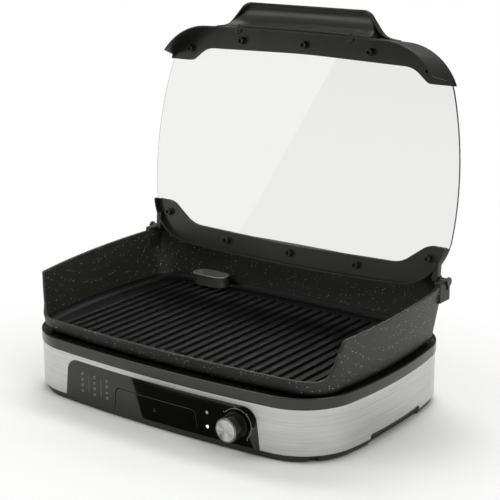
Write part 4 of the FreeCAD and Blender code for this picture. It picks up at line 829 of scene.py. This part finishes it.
@dataclass
class ControlFront:
    """Gloss panel with its drip drawer, lamps and printed marks, all on the bowed front."""

    panel_round: float = 0.35
    drawer_round: float = 0.6
    drawer_steps: int = 3
    tray_round: float = 0.5
    pipe_round: float = 0.1
    bow_radius: float = 1870.0
    face_y: float = -158.683
    proud: float = 0.06
    ink: float = 0.04
    ink_join: float = 0.001
    knob: Point = KNOB_AXIS
    dial_radius: float = 20.3
    dial_width: float = 0.4
    dial_start: float = 144.0
    dial_sweep: float = -192.0
    dial_steps: int = 40
    tick_count: int = 5
    tick_reach: Point = (0.9, 2.3)
    tick_width: float = 0.7
    lamp_x: float = 79.7
    upper_lamp: float = 41.5
    lower_lamp: float = 23.7
    lamp_steps: int = 24
    disc_radius: float = 1.9
    drop_length: float = 5.0
    drop_height: float = 4.2
    # The most that the drop's curve, sine times one plus cosine, comes to
    drop_peak: float = 1.3
    sign: tuple[Point, ...] = ((-2.4, 24.0), (2.4, 24.0), (0.0, 28.6))
    sign_line: float = 0.4
    columns: tuple[float, ...] = (-122.0, -100.5, -79.0)
    column_rows: int = 4
    column_low: float = 22.0
    column_high: float = 45.0
    rules: tuple[float, ...] = (-110.5, -89.0)
    rule_line: float = 0.3
    loop_radius: float = 1.5
    loop_line: float = 0.5
    loop_steps: int = 14
    stalk: Point = (1.2, 2.4)
    stroke_half: float = 1.8
    stroke_line: float = 0.6
    stroke_rise: float = 0.6
    stroke_lifts: Point = (-1.2, 0.6)

    def on_face(self, x: float, z: float, flat_at: Optional[float] = None) -> Vector:
        """Place of a printed point on the bowed face, or on a flat end let into it.

        Args:
            x: Across the panel.
            z: Up the panel.
            flat_at: Middle of the flat end across the panel, none for the face itself.

        Returns:
            The point in metres.
        """
        across = x if flat_at is None else flat_at
        return Vector((x, self.face_y + across * across / (2 * self.bow_radius) - self.proud, z)) * MM

    def print_faces(self, name: str, shapes: Sequence[Sequence[Point]], look: Look, body: str, slot: str,
                    flat_at: Optional[float] = None) -> None:
        """Print outlines onto the face as a thin layer of ink.

        Args:
            name: Name of the piece.
            shapes: Outlines, each a list of (x, z) points.
            look: Ink.
            body: Body that carries the print.
            slot: Slot of the record.
            flat_at: Middle of the flat end that takes the print, none for the bowed face.
        """
        shape = bmesh.new()
        for outline in shapes:
            corners = [shape.verts.new(self.on_face(x, z, flat_at)) for x, z in outline]
            face = shape.faces.new(corners)
            face.normal_update()
            if face.normal.y > 0:
                face.normal_flip()
        bmesh.ops.remove_doubles(shape, verts=shape.verts, dist=self.ink_join * MM)
        bmesh.ops.solidify(shape, geom=shape.faces[:], thickness=self.ink * MM)
        bmesh.ops.recalc_face_normals(shape, faces=shape.faces)
        settle(new_piece(name, finished_mesh(shape, name), look), body, slot)

    def ring(self, x: float, z: float, radius: float, width: float, start: float = 0.0, sweep: float = 360.0,
             steps: int = 24) -> list[list[Point]]:
        """Quads of a ring or an arc.

        Args:
            x: Centre across.
            z: Centre up.
            radius: Middle radius.
            width: Width of the line.
            start: First angle in degrees, counted from the right.
            sweep: Turn in degrees.
            steps: Quads along the arc.

        Returns:
            One outline for each quad.
        """
        quads = []
        for step in range(steps):
            corners = []
            for share, side in ((step, -1), (step + 1, -1), (step + 1, 1), (step, 1)):
                angle = math.radians(start + sweep * share / steps)
                reach = radius + side * width / 2
                corners.append((x + reach * math.cos(angle), z + reach * math.sin(angle)))
            quads.append(corners)
        return quads

    def bar(self, first: Point, last: Point, width: float) -> list[Point]:
        """Outline of a straight stroke between two points.

        Args:
            first: Where it starts.
            last: Where it ends.
            width: Width of the stroke.

        Returns:
            Its four corners.
        """
        along = (Vector(last) - Vector(first)).normalized()
        side = Vector((-along.y, along.x)) * width / 2
        corners = ((first, 1), (first, -1), (last, -1), (last, 1))
        return [tuple(Vector(end) + side * sign) for end, sign in corners]

    def loop_mark(self, x: float, z: float) -> list[list[Point]]:
        """A small ring with a stalk."""
        near, far = self.stalk
        stalk = self.bar((x + near, z + near), (x + far, z + far), self.loop_line)
        return self.ring(x, z, self.loop_radius, self.loop_line, steps=self.loop_steps) + [stalk]

    def stroke_mark(self, x: float, z: float) -> list[list[Point]]:
        """Two slanted strokes, one over the other."""
        left, right, rise = x - self.stroke_half, x + self.stroke_half, self.stroke_rise
        return [self.bar((left, z + lift), (right, z + lift + rise), self.stroke_line)
                for lift in self.stroke_lifts]

    def column_marks(self) -> list[list[Point]]:
        """Columns of small cooking signs, with a rule between columns.

        Returns:
            The outlines.
        """
        marks = [self.bar((x, self.column_low), (x, self.column_high), self.rule_line) for x in self.rules]
        for x in self.columns:
            for row in range(self.column_rows):
                z = self.column_low + (self.column_high - self.column_low) * row / (self.column_rows - 1)
                marks += self.loop_mark(x, z) if (row + round(x)) % 2 else self.stroke_mark(x, z)
        return marks

    def dial_marks(self) -> list[list[Point]]:
        """Arc about the knob, with ticks outside it.

        Returns:
            The outlines.
        """
        x, z = self.knob
        marks = self.ring(x, z, self.dial_radius, self.dial_width, self.dial_start, self.dial_sweep,
                          self.dial_steps)
        for tick in range(self.tick_count):
            angle = math.radians(self.dial_start + self.dial_sweep * tick / (self.tick_count - 1))
            near, far = [(x + (self.dial_radius + reach) * math.cos(angle),
                          z + (self.dial_radius + reach) * math.sin(angle)) for reach in self.tick_reach]
            marks.append(self.bar(near, far, self.tick_width))
        return marks

    def lamp_marks(self) -> None:
        """Print a disc on the upper light pipe, and a drop that lies on its side on the lower one."""
        turns = [math.tau * step / self.lamp_steps for step in range(self.lamp_steps)]
        disc = [(self.lamp_x + self.disc_radius * math.cos(turn),
                 self.upper_lamp + self.disc_radius * math.sin(turn)) for turn in turns]
        half = self.drop_height / 2 / self.drop_peak
        drop = [(self.lamp_x + self.drop_length / 2 * math.cos(turn),
                 self.lower_lamp + half * math.sin(turn) * (1 + math.cos(turn))) for turn in turns]
        self.print_faces("ready_mark", [disc], Look.PALE_INK, "base", "light_pipe", self.lamp_x)
        self.print_faces("power_mark", [drop], Look.LAMP, "base", "light_pipe", self.lamp_x)

    def build(self) -> None:
        """Dress the front and print its marks."""
        dress_node("control_panel", "gloss_panel", Look.PANEL, self.panel_round)
        dress_node("drawer_front", "drawer_face", Look.PANEL, self.drawer_round, self.drawer_steps)
        dress_node("drip_tray", "tray", Look.BASE, self.tray_round)
        dress_node("indicator_pipes", "light_pipes", Look.PANEL, self.pipe_round)
        self.print_faces("dial_marks", self.dial_marks(), Look.PALE_INK, "base", "panel_gloss")
        self.print_faces("food_marks", self.column_marks(), Look.INK, "base", "panel_gloss")
        sides = [self.bar(first, last, self.sign_line)
                 for first, last in zip(self.sign, self.sign[1:] + self.sign[:1])]
        self.print_faces("drawer_mark", sides, Look.FAINT_INK, "drawer", "drawer_gloss")
        self.lamp_marks()


@dataclass
class HeatKnob:
    """Turning knob: gloss barrel, bevelled rim with a thin bright bezel, and spun cap."""

    axis: Point = KNOB_AXIS
    bezel_radius: float = 14.2
    bezel_wire: float = 0.32
    bezel_steps: int = 72
    wire_sides: int = 8
    cap_proud: float = 0.6
    barrel_round: float = 0.35
    cap_round: float = 0.3
    shaft_round: float = 0.2

    def bezel(self) -> None:
        """Set a thin bright ring about the cap."""
        front = min(vertex.co.y for vertex in frame["nodes"]["knob_cap"].data.vertices)
        middle = Vector((self.axis[0] * MM, front + self.cap_proud * MM, self.axis[1] * MM))
        rings = []
        for step in range(self.bezel_steps):
            angle = math.tau * step / self.bezel_steps
            out = Vector((math.cos(angle), 0.0, math.sin(angle)))
            ring = []
            for side in range(self.wire_sides):
                turn = math.tau * side / self.wire_sides
                reach = self.bezel_radius + self.bezel_wire * math.cos(turn)
                depth = Vector((0.0, self.bezel_wire * math.sin(turn), 0.0))
                ring.append(middle + (out * reach + depth) * MM)
            rings.append(ring)
        mesh = finished_mesh(skin(rings, looped=True), "knob_bezel")
        mesh.shade_smooth()
        settle(new_piece("knob_bezel", mesh, Look.ZINC), "knob", SLOT_OF["knob_cap"])

    def build(self) -> None:
        """Dress the knob."""
        self.bezel()
        dress_node("knob_body", "knob_barrel", Look.KNOB, self.barrel_round)
        dress_node("knob_cap", "knob_disc", Look.CAP, self.cap_round)
        dress_node("knob_shaft", "knob_spindle", Look.ZINC, self.shaft_round)


@dataclass
class GrillPlate:
    """Cast plate with rounded ribs."""

    floor_z: float = 84.0
    cove_height: float = 8.0
    rib_top: float = 87.5
    rib_pitch: float = 15.3
    rib_width: float = 5.0
    rib_count: int = 26
    rib_front: float = -107.483
    rib_back: float = 128.517
    rib_root: float = 0.3
    crest_half: float = 0.8
    # How far a rib's side draws in, at a share of its height
    rib_draw: tuple[Point, ...] = ((0.3, 0.45), (0.9, 0.86))
    # How far the crest sinks, at a distance from the rib's end
    rib_ends: tuple[Point, ...] = ((0.0, 1.6), (1.2, 0.5), (3.0, 0.0))
    end_slack: float = 0.1
    level_slack: float = 0.2
    floor_tilt: float = 0.15
    edge_round: float = 0.9
    edge_steps: int = 3

    def casting(self) -> bpy.types.Object:
        """Copy the casting without its ribs and close the floor.

        Returns:
            The casting.
        """
        shape = clean_copy("grill_plate")
        reach = (self.rib_count - 1) / 2 * self.rib_pitch + self.rib_width
        ribs = []
        for face in shape.faces:
            x, y, z = face.calc_center_median() / MM
            inside = abs(x) < reach and self.rib_front - self.end_slack < y < self.rib_back + self.end_slack
            if inside and self.floor_z < z - self.level_slack < self.rib_top:
                ribs.append(face)
        bmesh.ops.delete(shape, geom=ribs, context="FACES")
        bmesh.ops.holes_fill(shape, edges=[edge for edge in shape.edges if edge.is_boundary], sides=0)
        piece = new_piece("cast_plate", finished_mesh(shape, "cast_plate"), Look.COATING)
        soften(piece, self.edge_round, self.edge_steps)
        # The floor and its cove take the near-black coating: painted shade in the well
        piece.data.materials.append(Look.RIBS.material)
        for face in piece.data.polygons:
            if face.normal.z > self.floor_tilt and face.center.z < (self.floor_z + self.cove_height) * MM:
                face.material_index = 1
        return piece

    def rib_mesh(self) -> bpy.types.Mesh:
        """One rib about the middle of the floor: flat sides that draw in to a rounded crest.

        Returns:
            The mesh, with the edges of its underside kept out of the smooth shading.
        """
        half = self.rib_width / 2
        height = self.rib_top - self.floor_z
        side = [(-half, -self.rib_root)]
        side += [(draw - half, height * share) for draw, share in self.rib_draw]
        side.append((-self.crest_half, height))
        profile = side + [(-x, z) for x, z in reversed(side)]
        ends = [(self.rib_front + away, sink) for away, sink in self.rib_ends]
        ends += [(self.rib_back - away, sink) for away, sink in reversed(self.rib_ends)]
        shape = skin([[Vector((x, y, max(-self.rib_root, z - sink))) * MM for x, z in profile]
                      for y, sink in ends])
        for edge in shape.edges:
            edge.smooth = any(vert.co.z > 0 for vert in edge.verts)
        mesh = finished_mesh(shape, "one_rib")
        mesh.shade_smooth()
        return mesh

    def rib_tree(self, rib: bpy.types.Object) -> bpy.types.NodeTree:
        """Geometry tree that sets ribs side by side.

        Args:
            rib: Object with one rib.

        Returns:
            The tree, with inputs Count, Pitch and Level.
        """
        tree = bpy.data.node_groups.new("rib_row", "GeometryNodeTree")
        kinds = {"Count": "NodeSocketInt", "Pitch": "NodeSocketFloat", "Level": "NodeSocketFloat"}
        for name, kind in kinds.items():
            tree.interface.new_socket(name, in_out="INPUT", socket_type=kind)
        tree.interface.new_socket("Geometry", in_out="OUTPUT", socket_type="NodeSocketGeometry")
        sizes = add_node(tree, "NodeGroupInput")
        one_less = add_node(tree, "ShaderNodeMath", {0: (sizes, "Count"), 1: 1.0}, operation="SUBTRACT")
        span = add_node(tree, "ShaderNodeMath", {0: (one_less, "Value"), 1: (sizes, "Pitch")},
                        operation="MULTIPLY")
        first = add_node(tree, "ShaderNodeMath", {0: (span, "Value"), 1: -0.5}, operation="MULTIPLY")
        start = add_node(tree, "ShaderNodeCombineXYZ", {"X": (first, "Value"), "Z": (sizes, "Level")})
        step = add_node(tree, "ShaderNodeCombineXYZ", {"X": (sizes, "Pitch")})
        row = add_node(tree, "GeometryNodeMeshLine", {
            "Count": (sizes, "Count"), "Start Location": (start, "Vector"), "Offset": (step, "Vector")})
        source = add_node(tree, "GeometryNodeObjectInfo", {"Object": rib})
        spread = add_node(tree, "GeometryNodeInstanceOnPoints", {
            "Points": (row, "Mesh"), "Instance": (source, "Geometry")})
        whole = add_node(tree, "GeometryNodeRealizeInstances", {"Geometry": (spread, "Instances")})
        # The ribs take the near-black coating: painted shade between them in the well
        dressed = add_node(tree, "GeometryNodeSetMaterial", {
            "Geometry": (whole, "Geometry"), "Material": Look.RIBS.material})
        add_node(tree, "NodeGroupOutput", {"Geometry": (dressed, "Geometry")})
        return tree

    def ribs(self) -> bpy.types.Object:
        """Row of ribs as one plain mesh.

        Returns:
            The ribs.
        """
        rib = put("one_rib", self.rib_mesh())
        piece = new_piece("plate_ribs", bpy.data.meshes.new("plate_ribs"), Look.RIBS)
        tree = self.rib_tree(rib)
        rows = piece.modifiers.new("rows", "NODES")
        rows.node_group = tree
        sizes = {"Count": self.rib_count, "Pitch": self.rib_pitch * MM, "Level": self.floor_z * MM}
        for item in tree.interface.items_tree:
            if item.in_out == "INPUT":
                rows[item.identifier] = sizes[item.name]
        bake_modifiers(piece)
        bpy.data.objects.remove(rib)
        return piece

    def build(self) -> None:
        """Make the casting and its ribs."""
        settle(self.casting(), "plate", "plate_coating", ["grill_plate"])
        settle(self.ribs(), "plate", "plate_coating")


@dataclass
class ChipCup:
    """Small steel cup by the back wall."""

    lip_round: float = 0.25

    def build(self) -> None:
        """Dress the cup."""
        dress_node("chip_cup", "steel_cup", Look.CUP, self.lip_round)


@dataclass
class GlassLid:
    """Pane, rails, clamp strips, handle, screws and hinge pins."""

    rail_round: float = 0.45
    rail_shortest: float = 0.4
    sheet_round: float = 0.4
    sheet_shortest: float = 2.4
    handle_round: float = 0.8
    screw_round: float = 0.2
    pin_round: float = 0.5
    hinge: Point = HINGE
    lean: float = math.radians(LEAN)
    leg_front: float = 27.0
    leg_top: float = 299.5
    leg_slack: float = 0.2
    leg_edge: float = 295.4
    rail_edge: float = 296.5
    rail_bow: float = 2700.0
    cove_foot: Point = (297.9, 33.0)
    cove_head: Point = (322.0, 1.3)
    # How deep the cove stands in the rail and in the handle's back
    cove_sunk: Point = (0.2, 0.7)
    cove_half: Point = (116.0, 95.0)
    cove_steps: int = 14
    cove_stations: int = 16

    def place(self, x: float, up: float, out: float) -> Vector:
        """Point of the open lid.

        Args:
            x: Across the lid.
            up: Along the pane, from the hinge axis.
            out: In front of the pane's rails.

        Returns:
            The point in metres.
        """
        return Vector((x, self.hinge[0] + up * math.sin(self.lean) - out * math.cos(self.lean),
                       self.hinge[1] + up * math.cos(self.lean) + out * math.sin(self.lean))) * MM

    def handle(self) -> None:
        """Dress the handle, with its leg drawn out to a thin edge over the rail."""
        shape = clean_copy("lid_handle", joined=False)
        along = Vector((0.0, math.sin(self.lean), math.cos(self.lean)))
        for vert in shape.verts:
            spot = vert.co / MM - Vector((0.0, *self.hinge))
            up = spot.dot(along)
            out = spot.z * math.sin(self.lean) - spot.y * math.cos(self.lean)
            if out > self.leg_front and up > self.leg_top - self.leg_slack:
                vert.co += along * (self.leg_edge - up) * MM
        piece = new_piece("grip", finished_mesh(shape, "grip"), Look.RAIL)
        soften(piece, self.handle_round, shortest=self.sheet_shortest)
        settle(piece, BODY_OF["lid_handle"], SLOT_OF["lid_handle"], ["lid_handle"])

    def cove(self) -> None:
        """Fill the corner between the handle's leg and its back with a hollow curve for the fingers."""
        foot, head = self.cove_foot, self.cove_head
        under, behind = self.rail_edge - self.cove_sunk[0], head[1] - self.cove_sunk[1]
        profile = [(under, behind), (under, foot[1])]
        for step in range(self.cove_steps + 1):
            angle = math.pi / 2 * step / self.cove_steps
            profile.append((head[0] - (head[0] - foot[0]) * math.cos(angle),
                            foot[1] - (foot[1] - head[1]) * math.sin(angle)))
        profile.append((head[0], behind))
        rings = []
        for station in range(self.cove_stations + 1):
            share = 2 * station / self.cove_stations - 1
            ring = []
            for up, out in profile:
                rise = max(0.0, (up - foot[0]) / (head[0] - foot[0]))
                x = share * (self.cove_half[0] + (self.cove_half[1] - self.cove_half[0]) * rise)
                ring.append(self.place(x, up - (1 - rise) * x * x / (2 * self.rail_bow), out))
            rings.append(ring)
        piece = new_piece("grip_cove", finished_mesh(skin(rings), "grip_cove"), Look.RAIL)
        soften(piece, 0.0)
        settle(piece, BODY_OF["lid_handle"], SLOT_OF["lid_handle"])

    def build(self) -> None:
        """Dress every piece of the lid."""
        for node, name, look in (("lid_glass", "pane", Look.GLASS), ("front_rail", "upper_rail", Look.RAIL),
                                 ("rear_rail", "lower_rail", Look.RAIL),
                                 ("front_clamp_strip", "upper_strip", Look.RAIL),
                                 ("rear_clamp_strip", "lower_strip", Look.RAIL)):
            rail = node.endswith("rail")
            dress_node(node, name, look, self.rail_round if rail else self.sheet_round,
                       shortest=self.rail_shortest if rail else self.sheet_shortest)
        self.handle()
        self.cove()
        dress_node("rail_screws", "rail_fixings", Look.SCREW, self.screw_round)
        dress_node("handle_screws", "grip_fixings", Look.SCREW, self.screw_round)
        dress_node("hinge_pin_left", "left_pin", Look.PIN, self.pin_round)
        dress_node("hinge_pin_right", "right_pin", Look.PIN, self.pin_round)


@dataclass(frozen=True)
class SoftLamp:
    """Rectangular soft lamp: its place and size in metres and its power in watts."""

    name: str
    place: Place
    size: Point
    power: float

    def hang(self, aim: Vector) -> None:
        """Hang the lamp so that it looks at a point.

        Args:
            aim: The point, in metres.
        """
        data = bpy.data.lights.new(self.name, "AREA")
        data.shape = "RECTANGLE"
        data.size, data.size_y = self.size
        data.energy = self.power
        lamp = put(self.name, data)
        lamp.location = self.place
        lamp.rotation_mode = "QUATERNION"
        lamp.rotation_quaternion = (aim - Vector(self.place)).to_track_quat("-Z", "Y")


@dataclass
class Studio:
    """Pale floor, soft lamps, the two sheets that glass and gloss mirror, and the camera."""

    # Side of the square picture, focal length, middle of the lens and corners of the mirrored card, in pixels
    picture: float = 500.0
    focal: float = 1403.49
    middle: Point = (235.18, 243.48)
    card_corners: tuple[Point, ...] = ((352.0, 30.0), (222.0, 264.0), (60.0, 264.0), (60.0, 30.0))
    card_away: float = 1300.0
    eye: Place = (1034.6, -1375.88, 682.2)
    aim: Place = (0.0, 8.517, 198.64)
    roll: float = -0.48
    sensor: float = 36.0
    # Nearest and farthest that the camera sees, in metres
    clip: Point = (0.05, 50.0)
    # Brightness of the room, and the sine of the height at which each level holds
    horizon: float = 1.0
    wall: float = 0.14
    wall_from: float = 0.08
    wall_to: float = 0.42
    ceiling: float = 0.75
    ceiling_from: float = 0.8
    # What the flag covers of the front, as seen in the picture, and its height over the floor
    front_y: float = -157.0
    flag_on_front: tuple[Point, ...] = ((-17.0, 8.0), (-44.0, 63.0), (146.0, 63.0), (146.0, 8.0))
    flag_lift: float = 1.0
    floor_half: float = 6000.0
    lamps: tuple[SoftLamp, ...] = (
        SoftLamp("key", (-0.5, 1.3, 2.2), (1.8, 1.0), 34.0),
        SoftLamp("front", (-1.4, -1.6, 2.2), (1.6, 1.2), 18.0),
        SoftLamp("side", (2.2, -0.6, 1.4), (1.2, 1.6), 18.0))

    def camera(self) -> None:
        """Set the camera where the picture was taken."""
        data = bpy.data.cameras.new("camera")
        data.sensor_width = self.sensor
        data.lens = self.focal * data.sensor_width / self.picture
        data.shift_x = 0.5 - self.middle[0] / self.picture
        data.shift_y = self.middle[1] / self.picture - 0.5
        data.clip_start, data.clip_end = self.clip
        camera = put("camera", data)
        eye = Vector(self.eye) * MM
        turn = (Vector(self.aim) * MM - eye).to_track_quat("-Z", "Y").to_matrix()
        turn = turn @ Matrix.Rotation(math.radians(self.roll), 3, "Z")
        camera.matrix_world = Matrix.Translation(eye) @ turn.to_4x4()
        bpy.context.scene.camera = camera

    def mirrored(self, spot: Point) -> Vector:
        """Follow the eye through a place of the picture to the pane and on by reflection.

        Args:
            spot: Place in the picture, in pixels.

        Returns:
            The place that the pane mirrors there.
        """
        turn = bpy.context.scene.camera.matrix_world
        ray = turn.to_3x3() @ Vector(((spot[0] - self.middle[0]) / self.focal,
                                      (self.middle[1] - spot[1]) / self.focal, -1.0)).normalized()
        lean = math.radians(LEAN)
        facing = Vector((0.0, -math.cos(lean), math.sin(lean)))
        eye = turn.translation
        reach = (Vector((0.0, *HINGE)) * MM - eye).dot(facing) / ray.dot(facing)
        return eye + ray * reach + (ray - 2 * ray.dot(facing) * facing) * self.card_away * MM

    def card(self) -> None:
        """Stand a white card where the pane mirrors its slanted edge."""
        bpy.context.view_layer.update()
        shape = bmesh.new()
        shape.faces.new([shape.verts.new(self.mirrored(spot)) for spot in self.card_corners])
        self.hidden("card", shape, Glowing("white_card", "#FFFFFF", 1.0, sampling="NONE", strength=1.0))

    def flag(self) -> None:
        """Lay a black flag before the front, where gloss black mirrors the floor, left of it open."""
        eye = Vector(self.eye) * MM
        shape = bmesh.new()
        corners = []
        for x, z in self.flag_on_front:
            spot = Vector((x, self.front_y, z)) * MM
            ray = spot - eye
            ray.y = -ray.y
            corners.append(shape.verts.new(spot + ray * (self.flag_lift * MM - spot.z) / ray.z))
        shape.faces.new(corners)
        self.hidden("flag", shape, Flock("black_flock", "#050505", 1.0))

    def hidden(self, name: str, shape: bmesh.types.BMesh, finish: Finish) -> None:
        """Put up a sheet that only reflections show.

        Args:
            name: Name of the sheet.
            shape: Its shape, freed here.
            finish: Its finish.
        """
        mesh = finished_mesh(shape, name)
        sheet = put(name, mesh)
        mesh.materials.append(finish.material())
        sheet.visible_camera = False
        sheet.visible_diffuse = False
        sheet.visible_transmission = False
        sheet.visible_shadow = False
        sheet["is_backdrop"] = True

    def sky(self) -> None:
        """Light from horizon and ceiling with dim walls; the eye sees white, also through glass."""
        world = bpy.data.worlds.new("soft_room")
        world.use_nodes = True
        tree = world.node_tree
        tree.nodes.clear()
        rays = add_node(tree, "ShaderNodeLightPath")
        seen = add_node(tree, "ShaderNodeMath", {
            0: (rays, "Is Camera Ray"), 1: (rays, "Is Transmission Ray")}, operation="MAXIMUM")
        place = add_node(tree, "ShaderNodeTexCoord")
        height = add_node(tree, "ShaderNodeSeparateXYZ", {"Vector": (place, "Generated")})
        room = add_node(tree, "ShaderNodeValToRGB", {"Fac": (height, "Z")})
        ramp = room.color_ramp
        ramp.elements[0].color = (self.horizon, self.horizon, self.horizon, 1)
        ramp.elements[1].position = self.ceiling_from
        ramp.elements[1].color = (self.ceiling, self.ceiling, self.ceiling, 1)
        for place_up in (self.wall_from, self.wall_to):
            ramp.elements.new(place_up).color = (self.wall, self.wall, self.wall, 1)
        tone = add_node(tree, "ShaderNodeMix", {
            "Factor": (seen, "Value"), "A": (room, "Color"), "B": linear("#FFFFFF")}, data_type="RGBA")
        light = add_node(tree, "ShaderNodeBackground", {"Color": (tone, "Result"), "Strength": 1.0})
        add_node(tree, "ShaderNodeOutputWorld", {"Surface": (light, "Background")})
        bpy.context.scene.world = world

    def floor(self) -> None:
        """Lay the pale floor."""
        shape = bmesh.new()
        bmesh.ops.create_grid(shape, x_segments=2, y_segments=2, size=self.floor_half * MM)
        mesh = finished_mesh(shape, "floor")
        floor = put("floor", mesh)
        mesh.materials.append(Paper("white_paper", "#F2F2F1", 0.8, sampling="NONE").material())
        floor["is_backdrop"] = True

    def build(self) -> None:
        """Set up camera, floor and light."""
        bpy.context.scene.view_settings.view_transform = "Standard"
        self.camera()
        self.sky()
        self.floor()
        self.card()
        self.flag()
        for lamp in self.lamps:
            lamp.hang(Vector(self.aim) * MM)


def write_sizes() -> None:
    """Gather the box of the solids and the box of the dressed grill; they are not written anywhere."""
    boxes = {"cad": CAD_BOX, "visual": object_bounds()}
    {name: [list(corner) for corner in box] for name, box in boxes.items()}


def main() -> None:
    """Build every sub-assembly in order."""
    logging.basicConfig(level=logging.INFO, format="%(message)s")
    for kind in (BaseHousing, Heater, ControlFront, HeatKnob, GrillPlate, ChipCup, GlassLid, Studio):
        kind().build()
        LOG.info("built %s", kind.__name__)
    write_sizes()


if __name__ == "__main__":
    main()
